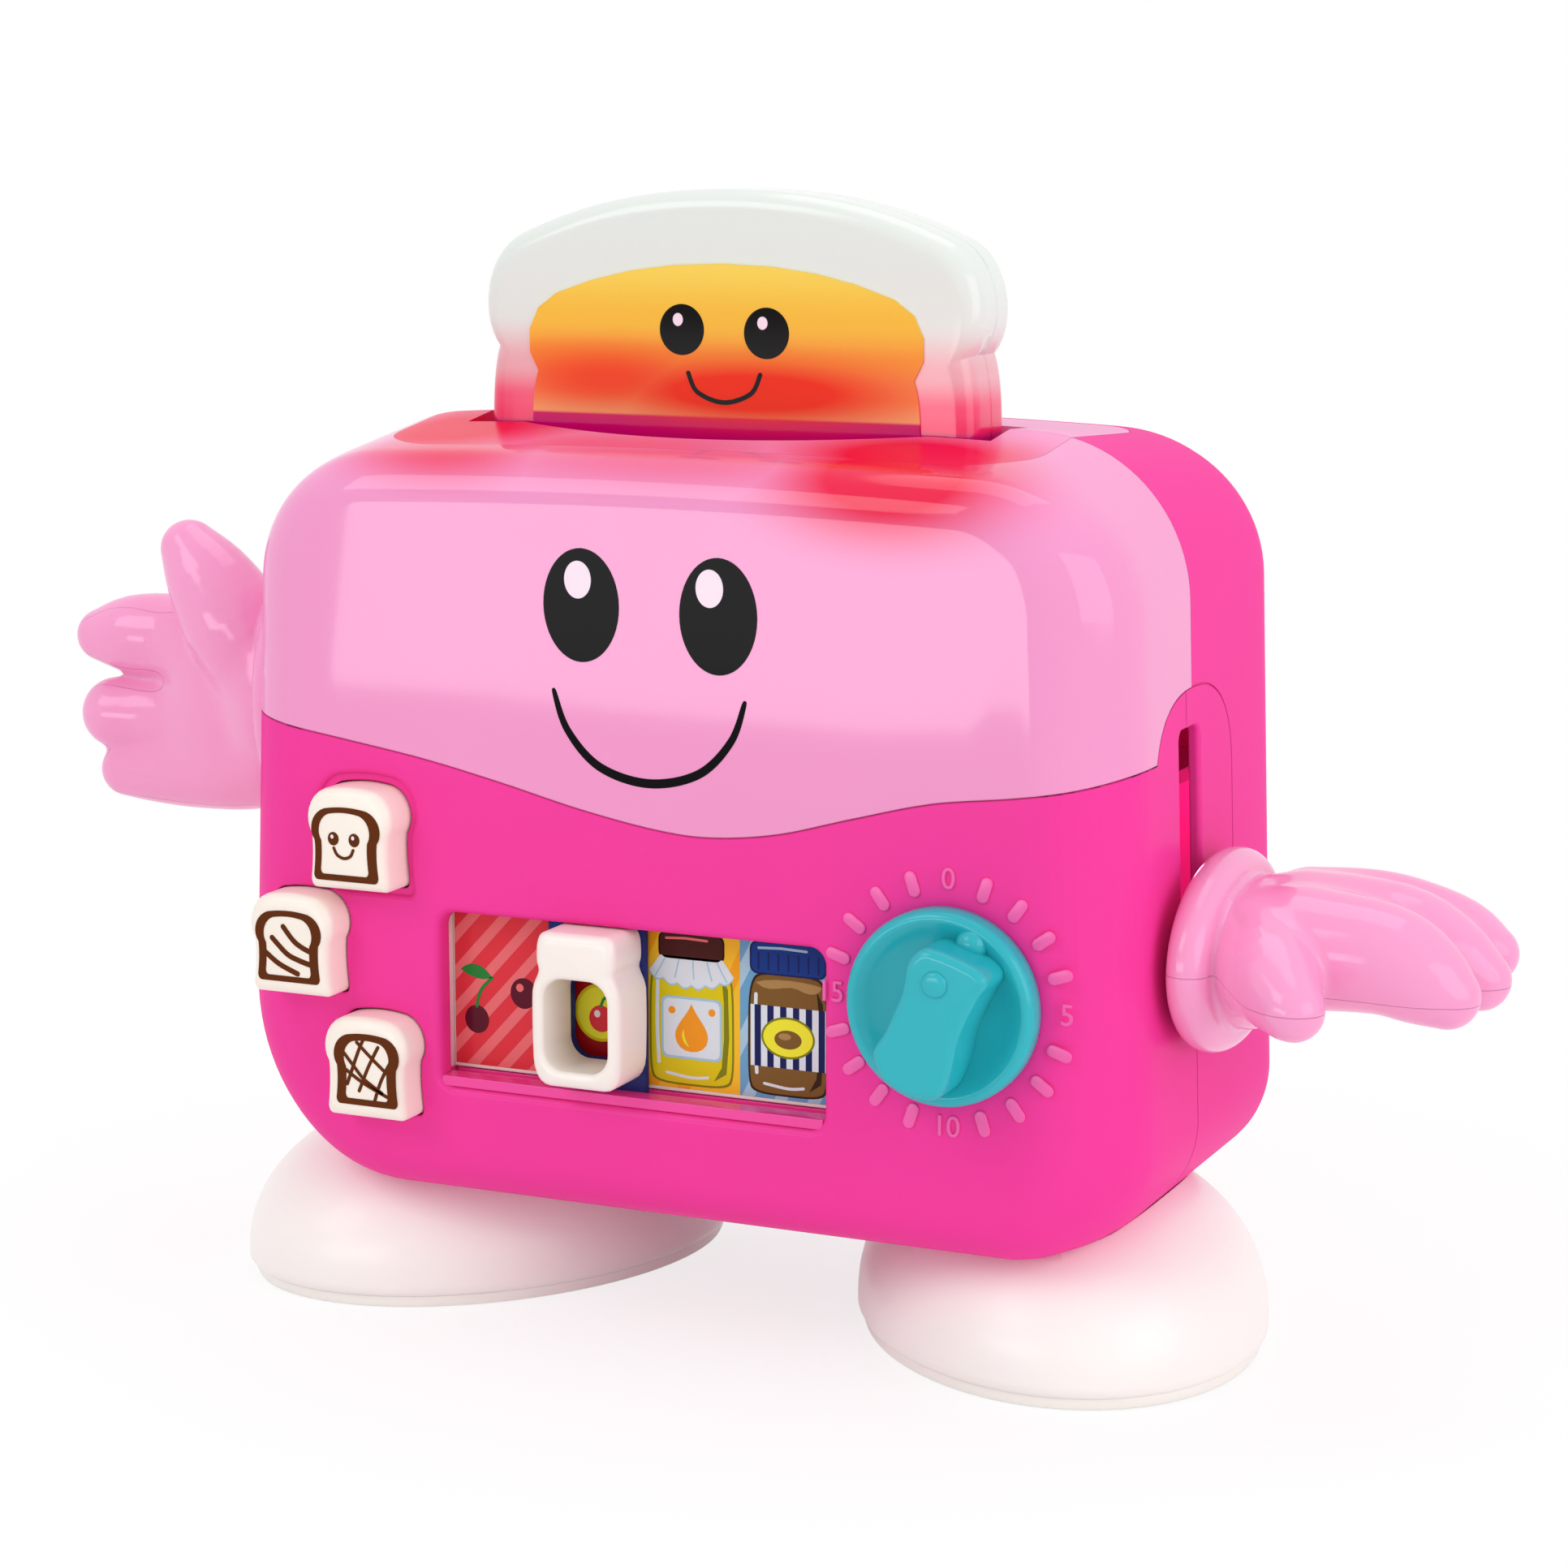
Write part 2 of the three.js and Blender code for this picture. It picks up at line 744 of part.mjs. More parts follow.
const frontFace = -body.frontDepth;
const frontInside = frontFace + body.wall;
const rearInside = body.rearDepth - body.wall;

// Window: the opening, its inner rim and the places behind it
const rimBack = frontInside + pictureWindow.rimDepth - body.wall;
const trayFront = rimBack + seatGap;
const trayPlateFront = trayFront + trayBox.depth;
const cardFront = trayPlateFront - seatGap - card.thickness;
const ledgeTop = pictureWindow.bottom + trayBox.ledgeHeight / 3;
const ledgeBottom = ledgeTop - trayBox.ledgeHeight;

function windowRim() {
  const { left, right, bottom, top, corner, rim } = pictureWindow;
  const outer = roundedRect(left - rim, right + rim, bottom, top + rim, corner);
  const inner = roundedRect(left, right, bottom - rim, top, corner);
  return plate("xz", outer, frontInside - body.wall / 2, rimBack)
    .subtract(plate("xz", inner, frontFace - overrun, rimBack + overrun));
}

function windowOpening() {
  const { left, right, top, corner } = pictureWindow;
  const middle = (ledgeBottom + top) / 2;
  const shape = roundedRect(left, right, ledgeBottom, top, corner);
  const upper = plate("xz", shape, frontFace - overrun, rimBack);
  const lower = block(left, right, frontFace - overrun, rimBack, ledgeBottom - seatGap, middle);
  return upper.add(lower);
}

// Housing mouldings

function frontShellParts() {
  const shell = housingOuter.subtract(housingInner).intersect(frontSide);
  const pillars = bossPillars(true).intersect(frontSide);
  const slots = union([leverSlot(), armHole(), collarRegion(seamGap / 2)]);
  const whole = shell.add(pillars).subtract(slots).subtract(bossBores());
  const lowerRegion = belowWave(-seamGap / 2).add(archRegion(-seamGap / 2));
  const upperRegion = belowWave(seamGap / 2).add(archRegion(seamGap / 2));
  const upper = whole.subtract(upperRegion);
  let lower = whole.intersect(lowerRegion).subtract(tongueRegion(seamGap));
  lower = lower.add(windowRim()).subtract(windowOpening());
  const radius = dial.shaftRadius + runGap;
  const plateHole = cylinder("y", radius, frontFace - overrun, frontInside + overrun, dial.x, dial.z);
  lower = lower.subtract(plateHole);
  boardBosses.forEach(({ x, z }) => {
    const start = frontInside - body.wall / 2;
    lower = lower.add(cylinder("y", boardBossRadius, start, boardFront - seatGap, x, z, boreSteps));
  });
  buttonPlaces.forEach(({ x, z, recess }) => {
    const hole = breadShape(button.width + runGap * 2, button.height + runGap * 2, x, z);
    lower = lower.subtract(plate("xz", hole, frontFace - overrun, frontInside + body.wall * 2, 5));
    if (recess > 0) {
      const wide = button.width + buttonRecessMargin * 2;
      const tall = button.height + buttonRecessMargin * 2;
      const dip = breadShape(wide, tall, x, z);
      lower = lower.subtract(plate("xz", dip, frontFace - overrun, frontFace + recess, 5));
    }
  });
  return { upper, lower };
}

function rearShell() {
  const walls = housingOuter.subtract(housingInner);
  let shell = walls.intersect(rearSide).add(walls.intersect(tongueRegion(0)));
  shell = shell.add(bossPillars(false).intersect(rearSide));
  shell = shell.subtract(collarRegion(seamGap / 2)).subtract(leverSlot()).subtract(armHole());
  shell = shell.subtract(bossBores());
  const band = archRegion(seamGap / 2).subtract(archRegion(-seamGap / 2));
  shell = shell.subtract(band.subtract(housingSolid(arch.groove)));
  const doorReach = door.halfWidth + seamGap;
  const doorLow = door.bottom - seamGap;
  const doorHole = roundedRect(-doorReach, doorReach, doorLow, door.top + seamGap, door.corner);
  shell = shell.subtract(plate("xz", doorHole, rearInside - overrun, body.rearDepth + overrun));
  const reach = power.slotLength / 2;
  const rise = power.slotHeight / 2;
  const knobSlot = roundedRect(
    power.x - reach, power.x + reach, power.z - rise, power.z + rise, rise / 2,
  );
  shell = shell.subtract(plate("xz", knobSlot, rearInside - overrun, body.rearDepth + overrun));
  return shell.subtract(grilleHoles());
}

// A row of sound slots, longest in the middle
function grilleHoles() {
  const middle = (grille.lengths.length - 1) / 2;
  const rise = grille.slotHeight / 2;
  return union(grille.lengths.map((length, i) => {
    const z = speaker.z + (i - middle) * grille.pitch;
    const x = speaker.x;
    const back = body.rearDepth + overrun;
    return block(x - length / 2, x + length / 2, rearInside - overrun, back, z - rise, z + rise);
  }));
}

function collarParts() {
  const slab = housingOuter.subtract(housingInner).intersect(collarRegion(-seamGap / 2));
  const ring = slab.subtract(plate("xy", slotShape(0), 0, body.top + overrun));
  return { front: ring.intersect(frontSide), rear: ring.intersect(rearSide) };
}

// Funnel-straight guide for the toast under the collar, open at the bottom and at the lever's end
function slotWell() {
  const outer = plate("xy", slotShape(well.flare + well.wall), well.bottom, body.top);
  const inner = plate("xy", slotShape(well.flare), well.bottom - overrun, body.top + overrun);
  const reach = tray.armWidth / 2 + runGap * 2;
  const notchTop = trayTop + lever.travel + runGap * 2;
  const notchLow = well.bottom - overrun;
  const notch = block(tray.halfLength, frameBracket.left, -reach, reach, notchLow, notchTop);
  const holes = [-led.x, led.x].map((x) =>
    cylinder("y", led.radius + seatGap, frontFace, 0, x, led.z, boreSteps));
  return outer.subtract(inner).intersect(innerClear).subtract(notch).subtract(union(holes));
}

// Toast

const toastBottom = toast.top - toast.height;
const trayTop = toastBottom - seatGap;
const toastMiddle = toastBottom + toast.height / 2;

// Places along the slice's outline: shares of its edge radius, its height and its half width
const toastEdgeShares = { footIn: 1.4, footCurve: 0.4, footOut: 0.3, cheek: 0.6, shoulder: 0.3 };
const toastHeightShares = {
  side: 0.5,
  neckCurve: 0.62,
  neck: 0.67,
  cheek: 0.73,
  shoulder: 0.865,
  crown: 0.905,
  crownCurve: 0.965,
};
const toastWidthShares = { crown: 0.86, crownCurve: 0.62, top: 0.36 };

// The slice's outline, drawn in towards its middle: straight sides, a neck and a domed head
function toastPoints(inset, endInset = inset) {
  const w = toast.width / 2;
  const low = toast.lowerWidth / 2;
  const neck = toast.neckWidth / 2;
  const shape = new THREE.Shape();
  const h = toast.height;
  const r = toast.edge;
  const edges = toastEdgeShares;
  const ups = toastHeightShares;
  const outs = toastWidthShares;
  const crown = [w * outs.crown, h * ups.crown];
  shape.moveTo(0, 0);
  shape.lineTo(low - r * edges.footIn, 0);
  shape.quadraticCurveTo(low - r * edges.footCurve, 0, low - r * edges.footOut, r);
  shape.lineTo(low, h * ups.side);
  shape.quadraticCurveTo(low, h * ups.neckCurve, neck, h * ups.neck);
  const cheek = [w + r * edges.cheek, h * ups.cheek];
  shape.bezierCurveTo(...cheek, w + r * edges.shoulder, h * ups.shoulder, ...crown);
  shape.bezierCurveTo(w * outs.crownCurve, h * ups.crownCurve, w * outs.top, h, 0, h);
  const half = shape.getPoints(4).filter((p) => p.x > 0);
  const points = half.map((p) => [p.x, p.y]);
  const mirror = half.map((p) => [-p.x, p.y]).reverse();
  const kx = (w - inset) / w;
  const kz = (h / 2 - endInset) / (h / 2);
  return [[0, 0], ...points, [0, h], ...mirror].map(([x, z]) => {
    return [x * kx, toastMiddle + (z - h / 2) * kz];
  });
}

function toastSolid(offset) {
  const half = toast.thickness / 2 - offset;
  const round = toast.edge - offset / 2;
  const places = [];
  for (let i = 3; i >= 0; i -= 1) places.push([(i / 3) * (Math.PI / 2), -1]);
  for (let i = 0; i <= 3; i += 1) places.push([(i / 3) * (Math.PI / 2), 1]);
  const rings = places.map(([angle, side]) => {
    const y = side * (half - round + round * Math.sin(angle));
    const inset = offset + round * (1 - Math.cos(angle));
    return toastPoints(inset).map(([x, z]) => new THREE.Vector3(x, y, z));
  });
  return loft(rings);
}

function toastHalves() {
  const shell = toastSolid(0).subtract(toastSolid(toast.wall));
  return { front: shell.intersect(toastSide(-1)), back: shell.intersect(toastSide(1)) };
}

function toastSide(sign) {
  const near = (sign * seamGap) / 2;
  const far = sign * toast.thickness;
  const front = Math.min(near, far);
  const back = Math.max(near, far);
  return block(-toast.width, toast.width, front, back, 0, toast.top + overrun);
}

// Picture on the toast's front face: the slice's own outline, drawn in
const sticker = { sideMargin: 13, endMargin: 17, thickness: 0.5, gap: 0.05 };
function toastSticker() {
  const face = -toast.thickness / 2 - sticker.gap;
  const shape = outline(toastPoints(sticker.sideMargin, sticker.endMargin));
  return plate("xz", shape, face - sticker.thickness, face);
}

// Lever

function leverBracket() {
  const { left, width, back, plate: thick, front, bottom, top, flange } = frameBracket;
  const right = left + width;
  const shape = block(left, right, back, back + thick, bottom, top);
  const low = block(left, right, -front, back + thick / 2, bottom, bottom + flange);
  const high = block(left, right, -front, back + thick / 2, top - flange, top);
  const foot = block(left, right, back + thick / 2, rearInside - seatGap, bottom, bottom + flange);
  const { holder: place } = frameBracket;
  const holder = block(left, right, back + thick / 2, rearInside - seatGap, place, place + flange);
  return union([shape, low, high, foot, holder]).intersect(innerClear);
}

const rodPlaces = [carriage.left + guideRod.inset, carriage.left + carriage.width - guideRod.inset];

function guideRodSolid(x) {
  const low = frameBracket.bottom + frameBracket.flange + seatGap;
  const high = frameBracket.top - frameBracket.flange - seatGap;
  return cylinder("z", guideRod.radius, low, high, x, 0, boreSteps);
}

// The block that runs on the rods, with the stem that carries the hand
function leverCarriage() {
  const right = carriage.left + carriage.width;
  const low = lever.height - lever.stemHeight / 2;
  const high = lever.height + lever.stemHeight / 2;
  const { halfDepth, bottom, top } = carriage;
  const half = lever.stemWidth / 2;
  let shape = block(carriage.left, right, -halfDepth, halfDepth, bottom, top);
  const stem = block(right - overrun / 4, lever.stemOuter, -half, half, low, high);
  shape = shape.add(stem);
  rodPlaces.forEach((x) => {
    const reach = guideRod.radius + carriage.boreGap;
    shape = shape.subtract(cylinder("z", reach, bottom - overrun, top + overrun, x, 0, boreSteps));
  });
  return shape;
}

function toastTray() {
  const half = tray.halfLength;
  const top = block(-half, half, -tray.halfDepth, tray.halfDepth, trayTop - tray.thickness, trayTop);
  const armHalf = tray.armWidth / 2;
  const armEnd = carriage.left - seatGap;
  const arm = block(half - overrun, armEnd, -armHalf, armHalf, trayTop - tray.armHeight, trayTop);
  return top.add(arm);
}

function holdMagnet() {
  const middle = carriage.left + carriage.width / 2;
  const low = frameBracket.bottom + frameBracket.flange + seatGap;
  const high = carriage.bottom - seatGap;
  const back = frameBracket.back - seatGap;
  const half = magnet.halfWidth;
  const shape = block(middle - half, middle + half, -magnet.halfDepth, back, low, high);
  const reach = guideRod.radius + carriage.boreGap;
  return rodPlaces.reduce((rest, x) => {
    return rest.subtract(cylinder("z", reach, low - overrun, high + overrun, x, 0, boreSteps));
  }, shape);
}

// Hands

function ballSolid(x, y, z, radii) {
  const geometry = new THREE.SphereGeometry(1, digitSteps, digitSteps / 2);
  geometry.rotateZ(Math.PI / 2);
  geometry.scale(...radii);
  geometry.translate(x, y, z);
  return solid(geometry);
}

// A digit: the skin drawn tight over each pair of neighbouring balls
function digitSolid(balls) {
  const solids = balls.map(([x, y, z, r]) => ballSolid(x, y, z, [r, r, r]));
  const links = solids.slice(1).map((ball, i) => wasm.Manifold.hull([solids[i], ball]));
  return union(links);
}

// The oval flange against the body, with a round rim
function flangeSolid() {
  const { flangeStart: start, flangeThickness: thick, flangeHalfLength: a, flangeHalfHeight: b } = hand;
  const rim = thick / 2;
  const rings = [];
  for (let i = 0; i <= rimSteps; i += 1) {
    const angle = (i / rimSteps) * Math.PI;
    const inset = rim * (1 - Math.sin(angle));
    const x = start + rim * (1 - Math.cos(angle));
    const ring = [];
    for (let j = 0; j < fineSteps; j += 1) {
      const turn = (j / fineSteps) * Math.PI * 2;
      ring.push(new THREE.Vector3(x, (a - inset) * Math.cos(turn), (b - inset) * Math.sin(turn)));
    }
    rings.push(ring);
  }
  return loft(rings);
}

// The whole hand in its own frame: x outwards, y towards the thumb, z towards the back of the hand
function handSolid(digits) {
  const fingers = Object.values(digits).map(digitSolid);
  const middle = [palm, wrist].map(({ centre, radii }) => ballSolid(...centre, radii));
  return union([flangeSolid(), ...middle, ...fingers]);
}

// The bent surface where the two halves of a hand meet, as the region below it
function belowParting(step) {
  const drop = -hand.partingDrop + step;
  const near = hand.flangeStart - overrun;
  const far = body.width;
  const points = [
    [near, step],
    [hand.partingStart, step],
    [hand.partingEnd, drop],
    [far, drop],
    [far, -body.width],
    [near, -body.width],
  ];
  return plate("xz", outline(points), -body.width, body.width);
}

function handHalves(digits, cavity) {
  const whole = handSolid(digits).subtract(cavity).trimByPlane([1, 0, 0], hand.flangeStart);
  return {
    palmSide: whole.intersect(belowParting(-seamGap / 2)),
    backSide: whole.subtract(belowParting(seamGap / 2)),
  };
}

function rightHandHalves() {
  const w = lever.stemWidth / 2 + seatGap;
  const h = lever.stemHeight / 2 + seatGap;
  const socket = block(hand.flangeStart - overrun, lever.stemOuter + seatGap, -w, w, -h, h);
  return handHalves(rightDigits, socket);
}

function leftHandHalves() {
  const radius = leftArm.hubRadius + seatGap;
  const end = leftArm.hubOuter + leftArm.inset + seatGap;
  return handHalves(leftDigits, cylinder("x", radius, hand.flangeStart - overrun, end, 0, 0));
}

// The right hand's thumb points forward, palm down
function placeRight(shape) {
  return shape.mirror([0, 1, 0]).translate([0, 0, lever.height]);
}

// The left hand's thumb points up and its palm faces forward
function placeLeft(shape) {
  const turned = shape.rotate([-90, 0, 0]).mirror([1, 0, 0]).mirror([0, 0, 1]);
  return turned.translate([leftArm.inset, 0, leftArm.height]);
}

// The left arm's hub: a pin through the side wall with a stop disc inside
function leftArmHub() {
  const inner = leftArm.hubInner;
  const profile = [
    [0, -leftArm.hubOuter],
    [leftArm.hubRadius, -leftArm.hubOuter],
    [leftArm.hubRadius, -inner - body.wall],
    [leftArm.stopRadius, -inner - body.wall],
    [leftArm.stopRadius, -inner],
    [0, -inner],
  ];
  return turned("x", profile, 0, 0, leftArm.height);
}

// Buttons and their switches

const buttonBack = frontInside + seatGap + button.skirt;
const domeFront = buttonBack + button.travel + seatGap / 2;
const keypadFront = domeFront + keypad.domeHeight;
const boardFront = keypadFront + keypad.sheet + seatGap;

// A bread-slice button: the cap, a rounded front edge in two steps, and a skirt behind the wall
function buttonSolid({ x, z }) {
  const { width, height, edge } = button;
  const face = frontFace - button.proud;
  const step = edge * buttonStepShares.narrower;
  const middleFace = face + edge * buttonStepShares.lower;
  const cap = plate("xz", breadShape(width, height, x, z), face + edge, buttonBack, 5);
  const middleShape = breadShape(width - step, height - step, x, z);
  const middle = plate("xz", middleShape, middleFace, face + edge * 2, 5);
  const frontShape = breadShape(width - step * 3, height - step * 3, x, z);
  const front = plate("xz", frontShape, face, face + edge * 2, 5);
  const skirt = plate(
    "xz", breadShape(button.width + button.rim * 2, button.height - button.rim, x, z),
    frontInside + seatGap, buttonBack, 5,
  );
  const trayPlace = block(trayLeft - runGap, 0, frontFace, 0, 0, body.top);
  return union([cap, middle, front, skirt.intersect(innerClear).subtract(trayPlace)]);
}

function keypadSolid() {
  const { left, right, bottom, top, notchLeft, notchTop } = board;
  const m = keypad.sheet;
  const points = [
    [notchLeft + m, bottom + m], [right - m, bottom + m], [right - m, top - m],
    [left + m, top - m], [left + m, notchTop + m], [notchLeft + m, notchTop + m],
  ];
  let shape = plate("xz", outline(points), keypadFront, keypadFront + keypad.sheet);
  boardBosses.forEach(({ x, z }) => {
    shape = shape.subtract(
      cylinder("y", boardBossRadius + seatGap, frontFace, 0, x, z, boreSteps),
    );
  });
  buttonPlaces.forEach(({ x, z }) => {
    shape = shape.add(
      cylinder("y", keypad.domeRadius, domeFront, keypadFront + keypad.sheet / 2, x, z, boreSteps),
    );
  });
  return shape;
}

function switchBoard() {
  const { left, right, bottom, top, notchLeft, notchTop, thickness } = board;
  const points = [
    [notchLeft, bottom], [right, bottom], [right, top],
    [left, top], [left, notchTop], [notchLeft, notchTop],
  ];
  return plate("xz", outline(points), boardFront, boardFront + thickness).intersect(innerClear);
}

// Picture slider

function sliderTray() {
  const { left, right, top } = pictureWindow;
  const m = trayBox.margin;
  const wall = trayBox.wall;
  const back = trayPlateFront + trayBox.plate;
  const low = ledgeBottom;
  const high = top + trayBox.topMargin;
  const outer = block(trayLeft, right + m + wall, trayFront, back, low, high + wall);
  const hollow = block(left - m, right + m, trayFront - overrun, trayPlateFront, low + wall, high);
  const ledgeFront = frontFace + seatGap * 2;
  const ledge = block(left + seatGap, right - seatGap, ledgeFront, trayPlateFront, low, ledgeTop);
  const grooveFront = trayFront;
  const grooveBack = grooveFront + jar.clipThickness + runGap * 2;
  const grooveLow = ledgeTop - trayBox.grooveDepth;
  const groove = block(left - m, right + m, grooveFront, grooveBack, grooveLow, ledgeTop + overrun);
  return outer.subtract(hollow).add(ledge).subtract(groove);
}

function pictureCard() {
  const { left, right, top } = pictureWindow;
  const low = ledgeTop + seatGap;
  const back = cardFront + card.thickness;
  return block(left - card.edge, right + card.edge, cardFront, back, low, top + card.edge);
}

// The jar outline: a squared cap, a short neck and a rounded glass
function jarShape() {
  const cap = jar.capWidth / 2;
  const neck = jar.neckWidth / 2;
  const w = jar.width / 2;
  const capLow = jar.top - jar.capHeight;
  const shoulder = capLow - jar.neckHeight;
  const r = jar.corner;
  const shape = new THREE.Shape();
  shape.moveTo(jar.x - w + r, jar.bottom);
  shape.lineTo(jar.x + w - r, jar.bottom);
  shape.absarc(jar.x + w - r, jar.bottom + r, r, -Math.PI / 2, 0, false);
  shape.lineTo(jar.x + w, shoulder - r / 2);
  shape.quadraticCurveTo(jar.x + w, shoulder, jar.x + neck, shoulder);
  shape.lineTo(jar.x + neck, capLow);
  shape.lineTo(jar.x + cap, capLow);
  shape.lineTo(jar.x + cap, jar.top - r / 4);
  shape.lineTo(jar.x + cap - r / 4, jar.top);
  shape.lineTo(jar.x - cap + r / 4, jar.top);
  shape.lineTo(jar.x - cap, jar.top - r / 4);
  shape.lineTo(jar.x - cap, capLow);
  shape.lineTo(jar.x - neck, capLow);
  shape.lineTo(jar.x - neck, shoulder);
  shape.quadraticCurveTo(jar.x - w, shoulder, jar.x - w, shoulder - r / 2);
  shape.lineTo(jar.x - w, jar.bottom + r);
  shape.absarc(jar.x - w + r, jar.bottom + r, r, Math.PI, Math.PI * 1.5, false);
  return shape;
}

function jarHole(grow) {
  const half = jar.holeWidth / 2 + grow;
  const low = jar.holeBottom - grow;
  const shape = roundedRect(jar.x - half, jar.x + half, low, jar.holeTop + grow, jar.corner);
  return plate("xz", shape, frontFace - jar.proud - overrun, 0);
}

const clipFront = trayFront + runGap / 2;
function jarSlider() {
  const front = frontFace - jar.proud;
  const back = clipFront - seatGap;
  return plate("xz", jarShape(), front, back, 5).subtract(jarHole(0));
}

function jarClip() {
  const half = jar.capWidth / 2 + jar.edge;
  const low = ledgeTop - trayBox.grooveDepth + runGap / 2;
  const high = pictureWindow.top + jar.tongue;
  const back = clipFront + jar.clipThickness;
  return block(jar.x - half, jar.x + half, clipFront, back, low, high).subtract(jarHole(0));
}

// Dial

// The grip's outline, turned to where it points and drawn in by a step
function gripShape(step) {
  const reach = dial.radius - step;
  const point = (along, half) => new THREE.Vector3(half * reach, along * reach, 0);
  const right = gripShares.map(([along, half]) => point(along, half));
  const left = gripShares.slice(1, -1).reverse().map(([along, half]) => point(along, -half));
  const closed = [...right, ...left];
  const curve = new THREE.CatmullRomCurve3(closed, true);
  const turn = -THREE.MathUtils.degToRad(dial.gripTurnDegrees);
  const points = curve.getPoints(gripShares.length * 3).slice(0, -1).map((p) => {
    const x = p.x * Math.cos(turn) - p.y * Math.sin(turn);
    const z = p.x * Math.sin(turn) + p.y * Math.cos(turn);
    return [dial.x + x, dial.z + z];
  });
  return outline(points);
}

// A place on the grip, from its distances along and across the grip's length
function placeOnGrip(along, across) {
  const turn = -THREE.MathUtils.degToRad(dial.gripTurnDegrees);
  const x = across * Math.cos(turn) - along * Math.sin(turn);
  const z = across * Math.sin(turn) + along * Math.cos(turn);
  return [dial.x + x, dial.z + z];
}

// How a peg's round head draws in: shares of its radius, and then of its height
const pegHeadShares = [[0.75, 0.85], [0.4, 1]];

// A low round dot or a small round-headed nub, from its foot forwards
function domedPeg([x, z], radius, height, foot, sunk) {
  const profile = [
    [0, foot + sunk],
    [radius, foot + sunk],
    [radius, foot - height / 2],
    ...pegHeadShares.map(([across, up]) => [radius * across, foot - height * up]),
    [0, foot - height],
  ];
  return turned("y", profile, x, 0, z, boreSteps);
}

// The rim's rounded section: how far in from the dial's edge and how deep, as shares of its width
const dialRimShares = [[0, 0.8], [0.1, 0.35], [0.35, 0.08], [0.6, 0], [0.95, 0.2], [1.4, 0.6]];
const dialBowlShares = { start: 2.2, gripStep: 0.4, gripInset: 0.3 };

function dialSolid() {
  const back = frontFace - dial.skirtGap;
  const rim = frontFace - dial.proud;
  const bowl = rim + dial.bowlDepth;
  const R = dial.radius;
  const w = dial.rimWidth;
  const profile = [
    [0, back],
    [R - w / 6, back],
    [R, back - w / 6],
    ...dialRimShares.map(([inwards, deep]) => [R - w * inwards, rim + w * deep]),
    [R - w * dialBowlShares.start, bowl],
    [0, bowl],
  ];
  const disc = turned("y", profile, dial.x, 0, dial.z, fineSteps);
  const top = frontFace - dial.gripProud;
  const low = plate("xz", gripShape(0), top + w * dialBowlShares.gripStep, bowl + w / 4);
  const high = plate("xz", gripShape(w * dialBowlShares.gripInset), top, bowl);
  const dotPlace = placeOnGrip(dial.dotAlong, dial.dotAcross);
  const dot = domedPeg(dotPlace, dial.dotRadius, dial.dotHeight, top, dial.dotHeight);
  const nubPlace = placeOnGrip(dial.nubAlong, dial.nubAcross);
  const nub = domedPeg(nubPlace, dial.nubRadius, dial.nubHeight, bowl, dial.rimWidth / 4);
  return union([disc, low, high, dot, nub]);
}

function dialShaft() {
  const start = frontFace + seatGap - dial.skirtGap;
  return cylinder("y", dial.shaftRadius, start, -dial.shaftEnd, dial.x, dial.z);
}

function timerUnit() {
  const front = frontInside + seatGap;
  const { halfWidth: w, halfHeight: h, depth } = timer;
  const shape = block(dial.x - w, dial.x + w, front, front + depth + body.wall, dial.z - h, dial.z + h);
  const radius = dial.shaftRadius + runGap;
  const end = -dial.shaftEnd + runGap;
  const bore = cylinder("y", radius, front - overrun, end, dial.x, dial.z);
  return shape.subtract(bore);
}

// Feet

const footShares = { under: 0.975, tip: 0.08 };

// A dome on an oval plan, drawn in by an offset, about its own middle
function footDome(offset) {
  const rings = [];
  const steps = 7;
  const height = foot.height - foot.sole - offset;
  const a = foot.length / 2 - offset;
  const b = foot.width / 2 - offset;
  const low = foot.sole;
  const levels = [[low, footShares.under], [low + foot.rim / 2, 1]];
  for (let i = 0; i < steps; i += 1) {
    const share = Math.sin((i / steps) * (Math.PI / 2));
    const width = (1 - share ** foot.power) ** (1 / foot.power);
    levels.push([low + foot.rim + (height - foot.rim) * share, width]);
  }
  levels.push([low + height, footShares.tip]);
  levels.forEach(([z, share]) => {
    const ring = [];
    for (let j = 0; j < fineSteps; j += 1) {
      const angle = (j / fineSteps) * Math.PI * 2;
      ring.push(new THREE.Vector3(b * share * Math.cos(angle), a * share * Math.sin(angle), z));
    }
    rings.push(ring);
  });
  return loft(rings);
}

function placeFoot(shape, side) {
  return shape.rotate([0, 0, side * foot.splayDegrees]).translate([side * foot.x, foot.y, 0]);
}

function footShell(side) {
  const hollow = footDome(foot.wall).translate([0, 0, -foot.wall]);
  const w = body.width;
  const under = block(-w, w, -w, w, 0, foot.roof);
  const low = block(-w, w, -w, w, foot.sole, foot.sole + foot.wall * 2);
  const opening = footDome(foot.wall).intersect(low).translate([0, 0, -foot.wall]);
  const shape = footDome(0).subtract(hollow.add(opening).intersect(under));
  return placeFoot(shape, side).subtract(housingClear);
}

function footSole(side) {
  const inset = foot.soleInset;
  const levels = [[0, inset * 2], [foot.sole / 3, inset], [foot.sole - seatGap, inset]];
  const rings = levels.map(([z, drawnIn]) => {
    const ring = [];
    const a = foot.width / 2 - drawnIn;
    const b = foot.length / 2 - drawnIn;
    for (let j = 0; j < fineSteps; j += 1) {
      const angle = (j / fineSteps) * Math.PI * 2;
      ring.push(new THREE.Vector3(a * Math.cos(angle), b * Math.sin(angle), z));
    }
    return ring;
  });
  return placeFoot(loft(rings), side);
}

// Rear fittings

